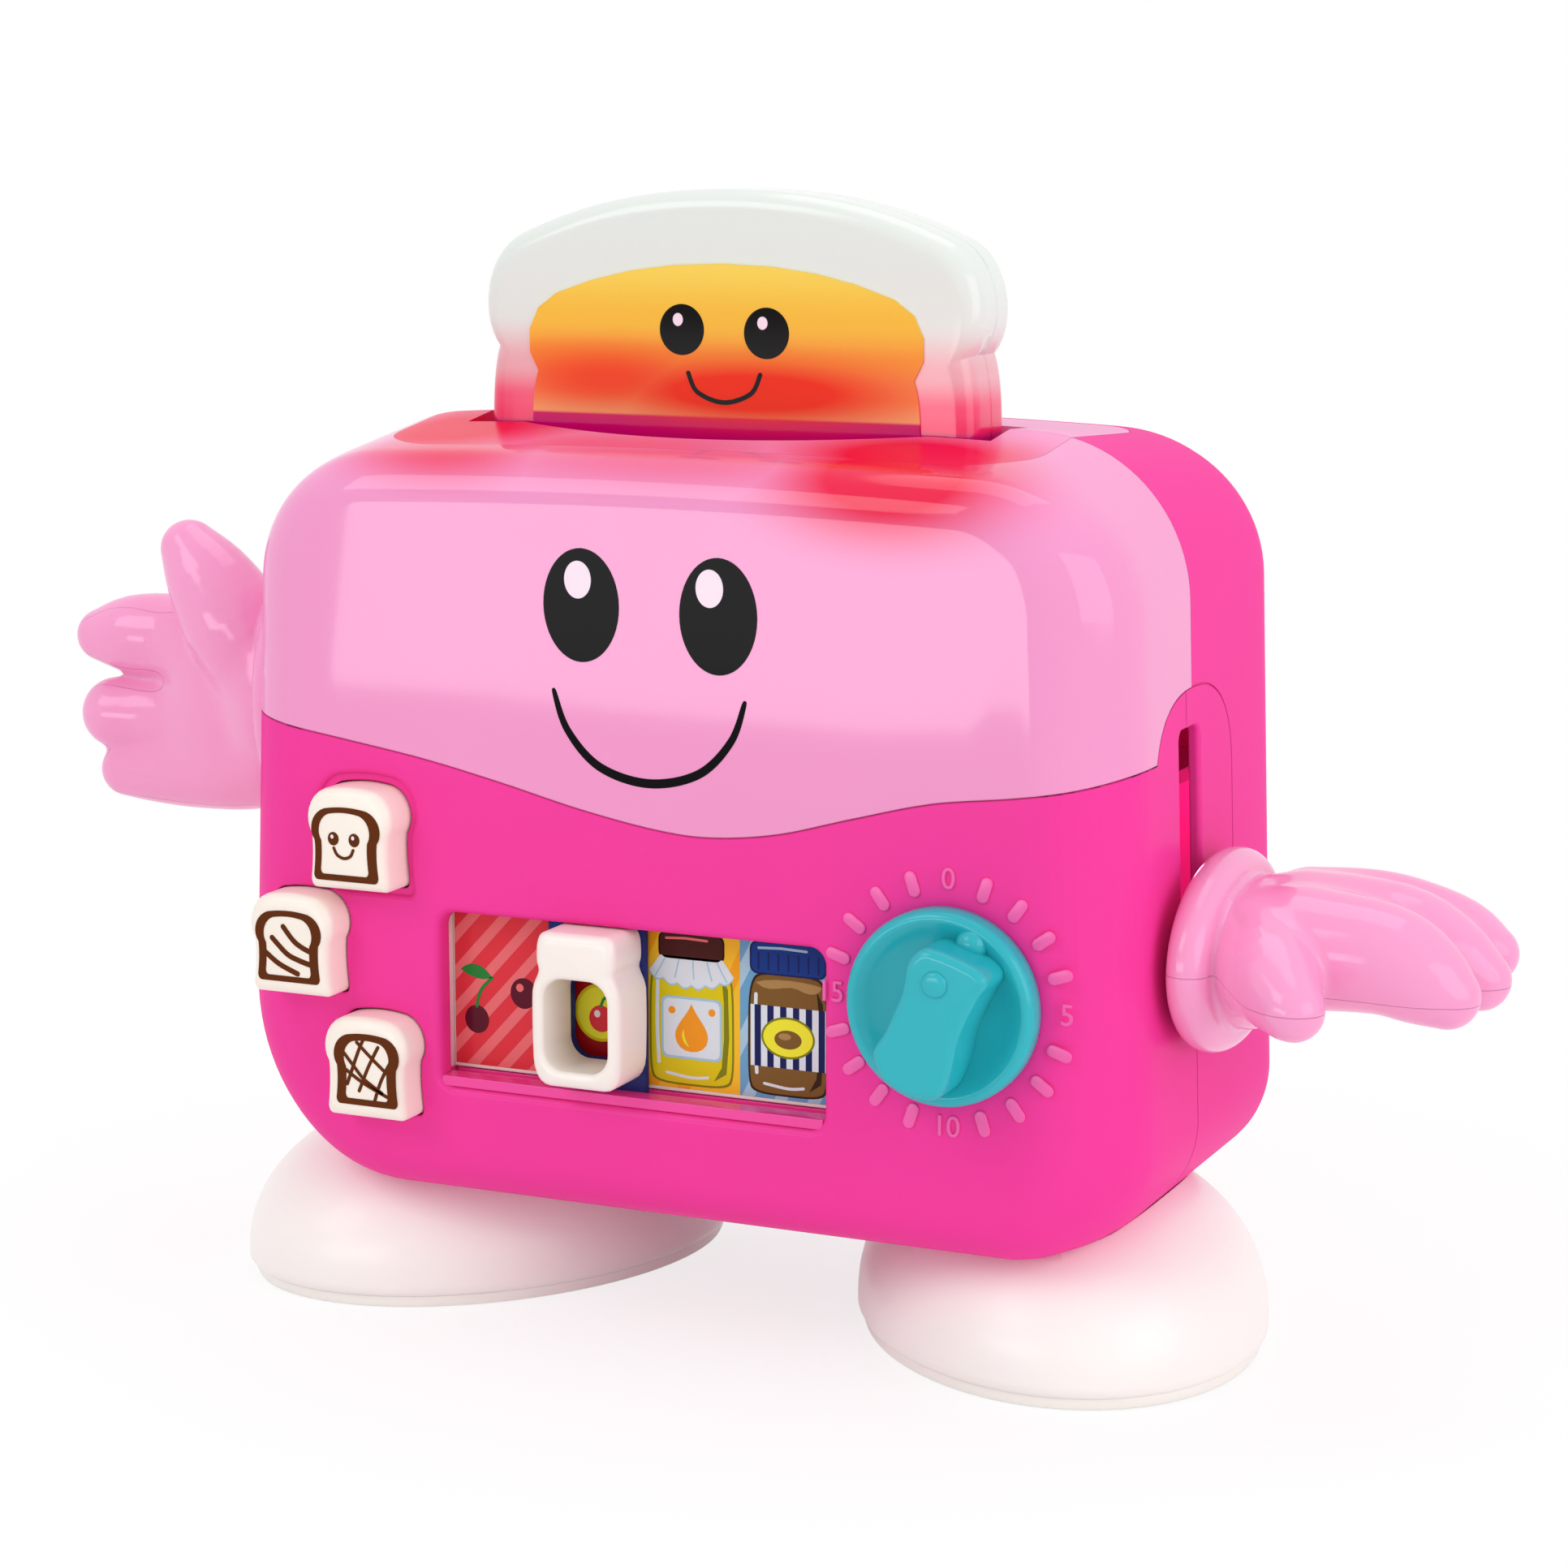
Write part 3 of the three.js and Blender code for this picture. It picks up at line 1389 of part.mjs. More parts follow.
function batteryBox() {
  const rim = rearInside - seatGap;
  const outer = block(-box.halfWidth, box.halfWidth, boxFront, rim, box.bottom, box.top);
  const low = battery.lowest - battery.radius - box.innerMargin;
  const high = battery.lowest + (battery.count - 1) * battery.pitch + battery.radius + box.innerMargin;
  const half = box.innerHalfWidth;
  const hollow = block(-half, half, boxFront + box.wall, rim + overrun, low, high);
  const radius = doorScrew.shankRadius + seatGap;
  const boreStart = rim - doorScrew.length;
  const bore = cylinder("y", radius, boreStart, rim + overrun, 0, doorScrew.z, boreSteps);
  return outer.subtract(hollow).subtract(bore).intersect(innerClear);
}

function batterySolid(i) {
  const z = battery.lowest + i * battery.pitch;
  const side = i % 2 === 0 ? 1 : -1;
  const half = battery.length / 2;
  const profile = [
    [0, -half],
    [battery.radius, -half],
    [battery.radius, half - battery.nub],
    [battery.nubRadius, half - battery.nub],
    [battery.nubRadius, half],
    [0, half],
  ].map(([r, h]) => [r, side * h]);
  return turned("x", profile, 0, batteryY, z, boreSteps);
}

function batteryDoor() {
  const shape = roundedRect(-door.halfWidth, door.halfWidth, door.bottom, door.top, door.corner);
  const headRadius = doorScrew.headRadius + seatGap;
  const headStart = body.rearDepth - doorScrew.headHeight - seatGap;
  const headEnd = body.rearDepth + overrun;
  const head = cylinder("y", headRadius, headStart, headEnd, 0, doorScrew.z, boreSteps);
  const radius = doorScrew.shankRadius + seatGap;
  const bore = cylinder("y", radius, rearInside - overrun, body.rearDepth, 0, doorScrew.z, boreSteps);
  return plate("xz", shape, rearInside, body.rearDepth).subtract(head).subtract(bore);
}

function doorScrewSolid() {
  const head = body.rearDepth - doorScrew.headHeight;
  const end = rearInside - seatGap - doorScrew.length + seatGap;
  const profile = [
    [0, end],
    [doorScrew.shankRadius, end],
    [doorScrew.shankRadius, head],
    [doorScrew.headRadius, head],
    [doorScrew.headRadius, body.rearDepth - seatGap],
    [0, body.rearDepth - seatGap],
  ];
  return turned("y", profile, 0, 0, doorScrew.z, boreSteps);
}

function housingScrew({ x, z }) {
  const head = headPlace;
  const profile = [
    [0, -boss.pastSeam],
    [boss.shankRadius, -boss.pastSeam],
    [boss.shankRadius, head],
    [boss.headRadius, head],
    [boss.headRadius, head + boss.headHeight],
    [0, head + boss.headHeight],
  ];
  return turned("y", profile, x, 0, z, boreSteps);
}

function mainBoardSolid() {
  const back = boxFront - seatGap;
  const { halfWidth: half, thickness, bottom, top } = mainBoard;
  return block(-half, half, back - thickness, back, bottom, top);
}

function speakerSolid() {
  const face = rearInside - seatGap;
  const { radius, rimHeight, coneDepth, magnetRadius, magnetDepth } = speaker;
  const profile = [
    [0, face],
    [radius, face],
    [radius, face - rimHeight],
    [radius * 0.85, face - rimHeight],
    [magnetRadius * 1.1, face - rimHeight - coneDepth],
    [magnetRadius, face - rimHeight - coneDepth],
    [magnetRadius, face - rimHeight - coneDepth - magnetDepth],
    [0, face - rimHeight - coneDepth - magnetDepth],
  ];
  return turned("y", profile, speaker.x, 0, speaker.z);
}

// The switch knob rests at the end of its slot where it is on
function powerKnob() {
  const half = power.knobLength / 2;
  const centre = power.x - power.travel / 2;
  const rise = power.slotHeight / 2 - runGap;
  const face = rearInside - seatGap;
  const nub = block(
    centre - half, centre + half, face - powerBody.plate / 2, body.rearDepth + power.knobProud,
    power.z - rise, power.z + rise,
  );
  const base = block(
    centre - half * 2, centre + half * 2, face - powerBody.plate, face,
    power.z - rise * 2, power.z + rise * 2,
  );
  return nub.add(base);
}

function powerBodySolid() {
  const face = rearInside - seatGap - powerBody.plate - seatGap;
  const { halfLength: w, halfHeight: h, depth } = powerBody;
  return block(power.x - w, power.x + w, face - depth, face, power.z - h, power.z + h);
}

// A light lens: a flange outside the well's front wall and a dome that looks into the slot
function ledSolid(side) {
  const x = side * led.x;
  const lens = slot.lensLength / 2 + well.flare + well.wall;
  const share = (led.x - led.flange) / lens;
  const wallFront = -(toast.thickness / 2 + slot.sideGap + well.flare + well.wall)
    - slot.lensDepth * (1 - share * share);
  const seat = wallFront - seatGap;
  const end = seat + well.wall + led.reach + led.flange;
  const r = led.radius;
  const profile = [
    [0, seat - led.flangeHeight],
    [led.flange, seat - led.flangeHeight],
    [led.flange, seat],
    [r, seat],
    [r, end - r],
    [r * 0.75, end - r * 0.35],
    [r * 0.4, end - r * 0.08],
    [0, end],
  ];
  return turned("y", profile, x, 0, led.z, boreSteps);
}

// Assembly

const frontShells = frontShellParts();
const collars = collarParts();
const slice = toastHalves();
const rightHand = rightHandHalves();
const leftHand = leftHandHalves();

addPiece("front_upper_shell", frontShells.upper, pink, 0.15);
addPiece("front_lower_shell", frontShells.lower, magenta, 0.2);
addPiece("rear_shell", rearShell(), magenta, 0.2);
addPiece("slot_collar_front", collars.front, pink, 0.2);
addPiece("slot_collar_rear", collars.rear, pink, 0.2);
addPiece("slot_well", slotWell(), magenta, 0.35);
addPiece("slider_tray", sliderTray(), white, 0.35);
addPiece("picture_card", pictureCard(), "#e4504f", 0.4);
addPiece("jar_slider", jarSlider(), white, 0.3);
addPiece("jar_slider_clip", jarClip(), white, 0.4);
addPiece("dial", dialSolid(), teal, 0.35);
addPiece("dial_shaft", dialShaft(), teal, 0.4);
addPiece("timer_unit", timerUnit(), "#d9d9d4", 0.5);
buttonPlaces.forEach((place) => addPiece(place.name, buttonSolid(place), cream, 0.35));
addPiece("button_keypad", keypadSolid(), "#8d8d8d", 0.7);
addPiece("switch_board", switchBoard(), "#2c7a45", 0.5);
addPiece("main_board", mainBoardSolid(), "#2c7a45", 0.5);
addPiece("speaker", speakerSolid(), "#3a3a3c", 0.5, 0.3);
addPiece("left_led", ledSolid(-1), "#ff2a4d", 0.2);
addPiece("right_led", ledSolid(1), "#ff2a4d", 0.2);
addPiece("battery_box", batteryBox(), magenta, 0.4);
for (let i = 0; i < battery.count; i += 1) {
  addPiece(`battery_${i + 1}`, batterySolid(i), "#7d8387", 0.4, 0.4);
}
addPiece("battery_door", batteryDoor(), magenta, 0.25);
addPiece("door_screw", doorScrewSolid(), "#b9bcc0", 0.35, 0.9);
bossPlaces.forEach((place, i) => {
  addPiece(`housing_screw_${i + 1}`, housingScrew(place), "#b9bcc0", 0.35, 0.9);
});
addPiece("lever_bracket", leverBracket(), "#efefec", 0.5);
rodPlaces.forEach((x, i) => addPiece(`guide_rod_${i + 1}`, guideRodSolid(x), "#c5c8cc", 0.25, 1));
addPiece("lever_carriage", leverCarriage(), "#efefec", 0.5);
addPiece("toast_tray", toastTray(), "#efefec", 0.5);
addPiece("hold_magnet", holdMagnet(), "#55585c", 0.5, 0.5);
addPiece("right_hand_upper", placeRight(rightHand.backSide), palePink, 0.25);
addPiece("right_hand_lower", placeRight(rightHand.palmSide), palePink, 0.25);
addPiece("left_hand_back", placeLeft(leftHand.backSide), palePink, 0.25);
addPiece("left_hand_palm", placeLeft(leftHand.palmSide), palePink, 0.25);
addPiece("left_arm_hub", leftArmHub(), "#efefec", 0.5);
addPiece("toast_front", slice.front, paleGrey, 0.3);
addPiece("toast_back", slice.back, paleGrey, 0.3);
addPiece("toast_sticker", toastSticker(), "#ffc24a", 0.4);
addPiece("left_foot", footShell(-1), white, 0.12);
addPiece("right_foot", footShell(1), white, 0.12);
addPiece("left_sole", footSole(-1), "#f3e6e6", 0.6);
addPiece("right_sole", footSole(1), "#f3e6e6", 0.6);
addPiece("power_knob", powerKnob(), cream, 0.4);
addPiece("power_switch", powerBodySolid(), "#55585c", 0.5);

toaster.position.y = -seamToOrigin;

export default toaster;
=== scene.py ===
import math

import bpy
import bmesh
import numpy as np
from mathutils import Matrix, Vector


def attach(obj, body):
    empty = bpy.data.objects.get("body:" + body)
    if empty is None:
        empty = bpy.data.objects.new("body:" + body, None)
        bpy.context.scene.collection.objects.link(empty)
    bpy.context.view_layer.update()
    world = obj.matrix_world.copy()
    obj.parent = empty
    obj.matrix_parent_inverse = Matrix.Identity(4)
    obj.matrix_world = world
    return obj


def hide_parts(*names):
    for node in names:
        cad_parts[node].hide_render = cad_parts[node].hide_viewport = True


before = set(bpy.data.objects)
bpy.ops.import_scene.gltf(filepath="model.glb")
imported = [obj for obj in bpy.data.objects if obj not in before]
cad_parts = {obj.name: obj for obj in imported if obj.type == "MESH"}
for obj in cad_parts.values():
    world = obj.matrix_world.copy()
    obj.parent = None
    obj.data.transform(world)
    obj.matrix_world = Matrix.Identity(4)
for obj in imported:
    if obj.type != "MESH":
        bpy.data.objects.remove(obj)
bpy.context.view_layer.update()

# Sizes are in millimetres, with x to the right, y back from the seam plane between the shells, and z up

# The frame's origin lies this far behind the seam plane
SEAM_TO_ORIGIN = 4.0
# How far cutters reach past the housing, and a length that clears all of it
PAST, FAR = 8.0, 200.0

# Housing: half its width, its levels, depths, wall, corners seen from the front, how far the sides lean in,
# fillets of its front and back edges, and the crown and slopes of its top
HALF = 115.0
BOTTOM, TOP = 32.0, 214.4
FRONT, REAR = 51.0, 75.0
WALL = 2.6
TOP_R, LOW_R, TIGHT_R = 38.0, 45.0, 25.0
LEAN = 4.2
SIDE_F, FRONT_TOP_F, FRONT_LOW_F, REAR_TOP_F, REAR_LOW_F = 22.0, 10.0, 12.0, 22.0, 14.0
CROWN = 1.6
FRONT_SLOPE, REAR_SLOPE = 0.15, 0.05

# Seams: the gap between mouldings, and how wide and deep their grooves are
SEAM_GAP = 0.03
WAVE_GROOVE, ARCH_GROOVE, ARCH_GROOVE_DEEP = 0.3, 0.2, 0.4

# The wavy parting line: its low level, its rise and its knots in shares of the half width and the rise
WAVE_LOW, WAVE_RISE = 124.8, 20.6
WAVE = [(-1.1, 1.05), (-0.9, 0.94), (-0.68, 0.77), (-0.5, 0.615), (-0.33, 0.42), (-0.15, 0.19),
        (0.02, 0.03), (0.14, 0.0), (0.28, 0.1), (0.435, 0.335), (0.6, 0.57), (0.77, 0.7),
        (0.92, 0.85), (1.1, 1.15)]


def to_row(points):
    a = np.asarray(points, float).reshape(-1, 3).copy()
    a[:, 1] -= SEAM_TO_ORIGIN
    return a * 0.001


def rgb(red, green, blue):
    """A colour as it is seen on screen, 0 to 255, in the renderer's linear numbers."""
    return tuple(((c / 255 + 0.055) / 1.055) ** 2.4 if c > 10 else c / 3294.6 for c in (red, green, blue))


def in_scene(name, data):
    """An object of the scene that holds a mesh, lamp, camera or text."""
    obj = bpy.data.objects.new(name, data)
    bpy.context.scene.collection.objects.link(obj)
    return obj


# Camera

def make_camera():
    data = bpy.data.cameras.new("photo_camera")
    data.sensor_fit = "HORIZONTAL"
    data.sensor_width = 36.0
    data.lens = 85.1
    data.clip_start = 0.01
    data.clip_end = 20
    cam = in_scene("photo_camera", data)
    cam.location = (0.36727, -0.79564, 0.28383)
    cam.rotation_euler = (math.radians(90 - 10.1504), 0, math.radians(24.253))
    bpy.context.scene.camera = cam


# Mesh helpers

def add_mesh(name, verts, faces):
    """An object from points in millimetres, with its faces turned outwards."""
    data = bpy.data.meshes.new(name)
    data.from_pydata([tuple(p) for p in to_row(verts)], [], faces)
    data.update()
    bm = bmesh.new()
    bm.from_mesh(data)
    bmesh.ops.recalc_face_normals(bm, faces=bm.faces)
    bm.to_mesh(data)
    bm.free()
    return in_scene(name, data)


def remove(obj):
    bpy.data.objects.remove(obj, do_unlink=True)


def apply_modifiers(obj):
    depsgraph = bpy.context.evaluated_depsgraph_get()
    data = bpy.data.meshes.new_from_object(obj.evaluated_get(depsgraph))
    obj.modifiers.clear()
    old = obj.data
    obj.data = data
    bpy.data.meshes.remove(old)
    return obj


def combine(obj, other, operation, keep=False):
    mod = obj.modifiers.new("join", "BOOLEAN")
    mod.operation = operation
    mod.object = other
    mod.solver = "MANIFOLD"
    apply_modifiers(obj)
    if not keep:
        remove(other)
    return obj


def cut(obj, other, keep=False):
    return combine(obj, other, "DIFFERENCE", keep)


def keep_inside(obj, other, keep=False):
    return combine(obj, other, "INTERSECT", keep)


def join(obj, other):
    return combine(obj, other, "UNION")


def copy_of(obj, name):
    twin = obj.copy()
    twin.data = obj.data.copy()
    twin.name = name
    bpy.context.scene.collection.objects.link(twin)
    return twin


def round_edges(obj, width, segments, angle):
    mod = obj.modifiers.new("round", "BEVEL")
    mod.width = width * 0.001
    mod.segments = segments
    mod.angle_limit = math.radians(angle)
    return apply_modifiers(obj)


def shade(data, angle):
    """Smooth shading with sharp edges where faces meet at more than an angle in degrees."""
    data.polygons.foreach_set("use_smooth", [True] * len(data.polygons))
    data.set_sharp_from_angle(angle=math.radians(angle))


def finish_piece(obj, body, material, slot, *nodes, angle=38):
    shade(obj.data, angle)
    obj.data.materials.clear()
    obj.data.materials.append(material)
    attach(obj, body)
    if nodes:
        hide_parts(*nodes)


def loft(name, rings):
    """A closed skin over rings of equal numbers of points, with a flat cap at each end."""
    count = len(rings[0])
    last = (len(rings) - 1) * count
    faces = []
    for start in range(0, last, count):
        for j in range(count):
            a, b = start + j, start + (j + 1) % count
            faces.append((a, b, b + count, a + count))
    faces.append(tuple(reversed(range(count))))
    faces.append(tuple(range(last, last + count)))
    return add_mesh(name, [p for ring in rings for p in ring], faces)


def prism(name, outline, plane, low, high):
    """A flat outline made into a plate: plane xz runs along y, yz along x, xy along z."""
    put = {
        "xz": lambda a, b, c: (a, c, b),
        "yz": lambda a, b, c: (c, a, b),
        "xy": lambda a, b, c: (a, b, c),
    }[plane]
    return loft(name, [[put(a, b, c) for a, b in outline] for c in (low, high)])


def layered(name, outline, levels):
    """A loft along y: each level is (y, step), and outline(step) gives its shape."""
    return loft(name, [[(x, y, z) for x, z in outline(step)] for y, step in levels])


def quarter(radius, start=0.0, steps=8):
    """A quarter round from its side to its top: how far below the top and how far in from the side."""
    return [(radius * (1 - math.sin(a)), radius * (1 - math.cos(a))) for a in np.linspace(start, math.pi / 2, steps)]


def block(name, x0, x1, y0, y1, z0, z1):
    return prism(name, [(x0, y0), (x1, y0), (x1, y1), (x0, y1)], "xy", z0, z1)


def turned(name, axis, profile, centre, steps=96):
    """A solid turned about an axis; the profile's first and last points lie on the axis."""
    cx, cy, cz = centre
    put = {
        "x": lambda r, h, c, s: (cx + h, cy + r * c, cz + r * s),
        "y": lambda r, h, c, s: (cx + r * c, cy + h, cz + r * s),
    }[axis]
    angles = [2 * math.pi * j / steps for j in range(steps)]
    rings = profile[1:-1]
    verts = [put(0, profile[0][1], 0, 0)]
    verts += [put(r, h, math.cos(a), math.sin(a)) for r, h in rings for a in angles]
    verts.append(put(0, profile[-1][1], 0, 0))
    end = len(verts) - 1
    last = end - steps
    faces = []
    for j in range(steps):
        k = (j + 1) % steps
        faces.append((0, 1 + k, 1 + j))
        for a in range(1, last, steps):
            faces.append((a + j, a + k, a + k + steps, a + j + steps))
        faces.append((last + j, last + k, end))
    return add_mesh(name, verts, faces)


def cylinder(name, axis, radius, low, high, centre, steps=64):
    return turned(name, axis, [(0, low), (radius, low), (radius, high), (0, high)], centre, steps)


def arc(cx, cy, r, start, stop, steps):
    return [(cx + r * math.cos(start + (stop - start) * i / steps),
             cy + r * math.sin(start + (stop - start) * i / steps)) for i in range(steps + 1)]


def rounded_rect(left, right, bottom, top, corner, steps=10):
    q = math.pi / 2
    middles = ((right - corner, bottom + corner), (right - corner, top - corner), (left + corner, top - corner),
               (left + corner, bottom + corner))
    return [p for i, (x, z) in enumerate(middles) for p in arc(x, z, corner, (i - 1) * q, i * q, steps)]


def bezier(points, steps=12):
    """Points along a curve given as a start and then (control, control, end) triples."""
    out = [points[0]]
    for i in range(1, len(points) - 2, 3):
        p0, p1, p2, p3 = (np.array(p, float) for p in (out[-1], *points[i:i + 3]))
        for k in range(1, steps + 1):
            t = k / steps
            out.append(tuple((1 - t) ** 3 * p0 + 3 * (1 - t) ** 2 * t * p1 + 3 * (1 - t) * t * t * p2 + t ** 3 * p3))
    return out


def mirrored(half, x=0.0):
    """The whole outline from its right half, about a middle line."""
    return [(x + a, z) for a, z in half] + [(x - a, z) for a, z in reversed(half[1:-1])]


def curve(points, steps):
    """A smooth curve from the second point up to, but not with, the last but one."""
    p = [np.array(point, float) for point in points]
    out = []
    for a, b, c, d in zip(p, p[1:], p[2:], p[3:]):
        for t in (k / steps for k in range(steps)):
            out.append(0.5 * (2 * b + (c - a) * t + (2 * a - 5 * b + 4 * c - d) * t * t
                              + (3 * b - a - 3 * c + d) * t ** 3))
    return out


def smooth_line(points, steps):
    """A smooth curve through all the points."""
    return [tuple(p) for p in (*curve([points[0], *points, points[-1]], steps), points[-1])]


# Materials

def feed(tree, node, inputs):
    """Sets a node's inputs, each to a value or to another node's output."""
    for key, value in inputs.items():
        if isinstance(value, bpy.types.NodeSocket):
            tree.links.new(value, node.inputs[key])
        else:
            node.inputs[key].default_value = value


def wire(tree, kind, output, inputs=None, **settings):
    """Adds a shader node, fills its inputs and gives one of its outputs."""
    node = tree.nodes.new("ShaderNode" + kind)
    for key, value in settings.items():
        setattr(node, key, value)
    feed(tree, node, inputs or {})
    return node.outputs[output]


def new_material(name):
    mat = bpy.data.materials.new(name)
    mat.use_nodes = True
    return mat, mat.node_tree, mat.node_tree.nodes["Principled BSDF"]


def noise(tree, scale, detail):
    place = wire(tree, "TexCoord", "Object")
    return wire(tree, "TexNoise", "Fac", {"Scale": scale, "Detail": detail, "Vector": place})


def uneven(tree, value, scale, detail, low, high):
    """A number that drifts between two shares of a value."""
    return wire(tree, "MapRange", "Result", {"To Min": value * low, "To Max": value * high,
                                             "Value": noise(tree, scale, detail)})


def ramp(tree, factor, stops, interpolation="LINEAR"):
    """Colours along a factor; stops are (place from 0 to 1, colour)."""
    colour = wire(tree, "ValToRGB", "Color", {"Fac": factor})
    scale = colour.node.color_ramp
    scale.interpolation = interpolation
    while len(scale.elements) < len(stops):
        scale.elements.new(0.5)
    for element, (place, shade) in zip(scale.elements, stops):
        element.position = place
        element.color = (*shade, 1)
    return colour


def plastic(name, colour, rough=0.25, coat=0.0, peel=0.02, mottle=0.04, soft=0.0, edge=0.0004, specular=0.5,
            coat_rough=0.08):
    """Moulded plastic: faint shade drift, an uneven gloss, a fine moulded skin and softly rounded edges."""
    mat, tree, bsdf = new_material(name)
    low = [c * (1 - mottle) for c in colour]
    high = [min(1.0, c * (1 + mottle * 0.5)) for c in colour]
    skin = wire(tree, "Bump", "Normal", {
        "Strength": peel, "Distance": 0.001, "Height": noise(tree, 260.0, 4.0),
        "Normal": wire(tree, "Bevel", "Normal", {"Radius": edge}, samples=4)})
    feed(tree, bsdf, {
        "Base Color": ramp(tree, noise(tree, 14.0, 3.0), ((0.3, low), (0.7, high))),
        "Roughness": uneven(tree, rough, 60.0, 5.0, 0.85, 1.2), "Normal": skin,
        "Specular IOR Level": specular, "Coat Weight": coat, "Coat Roughness": coat_rough})
    if soft:
        feed(tree, bsdf, {"Subsurface Weight": soft, "Subsurface Radius": (0.004, 0.002, 0.002),
                          "Subsurface Scale": 1.0})
    return mat


def ink(name, colour, coat=0.2, mottle=0.06, peel=0.02):
    """A thin, even print."""
    return plastic(name, colour, coat=coat, mottle=mottle, peel=peel, specular=0.0, edge=0.0001)


def metal(name, colour, rough=0.3):
    mat, tree, bsdf = new_material(name)
    feed(tree, bsdf, {"Metallic": 1.0, "Base Color": (*colour, 1),
                      "Roughness": uneven(tree, rough, 400.0, 6.0, 0.7, 1.3)})
    return mat


def glowing(mat, colour, strength):
    tree = mat.node_tree
    feed(tree, tree.nodes["Principled BSDF"], {"Emission Color": colour, "Emission Strength": strength})
    return mat


def height_ramp(mat, stops, glow=0.0):
    """Colours a material by height: stops are (height in mm, colour); the same colours may glow a little."""
    tree = mat.node_tree
    low, high = stops[0][0] * 0.001, stops[-1][0] * 0.001
    height = wire(tree, "SeparateXYZ", "Z", {"Vector": wire(tree, "TexCoord", "Object")})
    place = wire(tree, "MapRange", "Result", {"Value": height, "From Min": low, "From Max": high})
    colour = ramp(tree, place, [((z * 0.001 - low) / (high - low), shade) for z, shade in stops], "EASE")
    feed(tree, tree.nodes["Principled BSDF"], {"Base Color": colour})
    return glowing(mat, colour, glow) if glow else mat


def tint_spots(mat, spots, colour, glow=0.0):
    """Paints soft spots of light's colour on a material, which may glow: painted glow or painted reflection; each spot
    is (centre in mm, radii in mm, how strong).
    """
    tree = mat.node_tree
    bsdf = tree.nodes["Principled BSDF"]
    place = wire(tree, "TexCoord", "Object")
    total = None
    for centre, radii, share in spots:
        shift = wire(tree, "VectorMath", "Vector", {0: place, 1: tuple(to_row([centre])[0])}, operation="SUBTRACT")
        reach = wire(tree, "VectorMath", "Vector", {0: shift, 1: [r * 0.001 for r in radii]}, operation="DIVIDE")
        size = wire(tree, "VectorMath", "Value", {0: reach}, operation="LENGTH")
        fade = wire(tree, "MapRange", "Result", {"Value": size, "From Min": 1.0, "From Max": 0.0, "To Max": share},
                    interpolation_type="SMOOTHERSTEP")
        total = fade if total is None else wire(tree, "Math", "Value", {0: total, 1: fade}, operation="MAXIMUM")

    def tinted(under):
        return wire(tree, "Mix", "Result", {"Factor": total, "A": under, "B": (*colour, 1)}, data_type="RGBA")

    feed(tree, bsdf, {"Base Color": tinted(bsdf.inputs["Base Color"].links[0].from_socket)})
    return glowing(mat, tinted((0, 0, 0, 1)), glow) if glow else mat


MAGENTA = rgb(247, 62, 160)
GLOW_RED = rgb(230, 0, 66)

mats = {
    "pink": plastic("pink_gloss_plastic", rgb(245, 153, 204), coat=0.85, peel=0.004, edge=0.0006, specular=0.0,
                    mottle=0.02, coat_rough=0.07),
    "magenta": plastic("magenta_plastic", MAGENTA, coat=0.2, peel=0.012, edge=0.0007, specular=0.0, mottle=0.02,
                       coat_rough=0.22),
    "collar": plastic("pink_collar_plastic", rgb(246, 152, 204), coat=0.6, specular=0.0, coat_rough=0.25),
    "hand": plastic("pale_pink_hand_plastic", rgb(250, 160, 207), coat=0.9, specular=0.0, peel=0.006, mottle=0.02,
                    coat_rough=0.13),
    "teal": plastic("teal_plastic", rgb(42, 184, 196), specular=0.0, coat=0.7, coat_rough=0.16, peel=0.01, edge=0.0008),
    "white": plastic("milky_white_plastic_painted_pink_reflection", rgb(255, 250, 246), rough=0.3, specular=0.4, mottle=0.012, peel=0.01),
    "ring": plastic("ivory_plastic", rgb(253, 243, 236), mottle=0.02, soft=0.05),
    "sole": plastic("pale_sole_plastic", rgb(254, 248, 243), rough=0.4, mottle=0.02),
    "cream": plastic("cream_button_plastic", rgb(255, 244, 232), rough=0.3, mottle=0.02, soft=0.05),
    "toast": plastic("pale_grey_toast_plastic_painted_glow", rgb(228, 231, 227), rough=0.14, peel=0.006, mottle=0.02),
    "inner": plastic("inner_pale_plastic", rgb(238, 238, 235), rough=0.5, mottle=0.03),
    "board": plastic("green_board", rgb(44, 122, 69), rough=0.5, mottle=0.15),
    "dark": plastic("dark_plastic", rgb(58, 58, 62), rough=0.5, mottle=0.1),
    "rubber": plastic("grey_rubber", rgb(140, 140, 140), rough=0.7, mottle=0.05),
    "cell": plastic("battery_sleeve", rgb(120, 126, 132), rough=0.35, mottle=0.05),
    "tray": plastic("clear_pale_tray_plastic", rgb(250, 226, 230), rough=0.1, mottle=0.02),
    "tick": plastic("raised_scale_plastic", rgb(250, 92, 176), rough=0.3),
    # The slot well's emission is painted glow, standing in for the red light inside the slot
    "well": glowing(plastic("well_plastic_painted_glow", rgb(214, 20, 132), rough=0.4), (*rgb(220, 0, 110), 1), 0.35),
    "led": glowing(plastic("red_light_lens", rgb(255, 60, 90), rough=0.15), (*rgb(255, 30, 80), 1), 2.5),
    "brown": ink("brown_print", rgb(98, 46, 14), coat=0.15),
    "black": ink("black_print", rgb(16, 14, 16), coat=0.12, mottle=0.1),
    "light": ink("white_print", rgb(253, 232, 246), mottle=0.01),
    "sticker": ink("toast_picture_painted_glow", (1, 0.6, 0.2), coat=0.12, mottle=0.04),
    "steel": metal("bright_steel", rgb(200, 202, 206)),
    "magnet": metal("ground_magnet", rgb(120, 122, 126), 0.45),
}
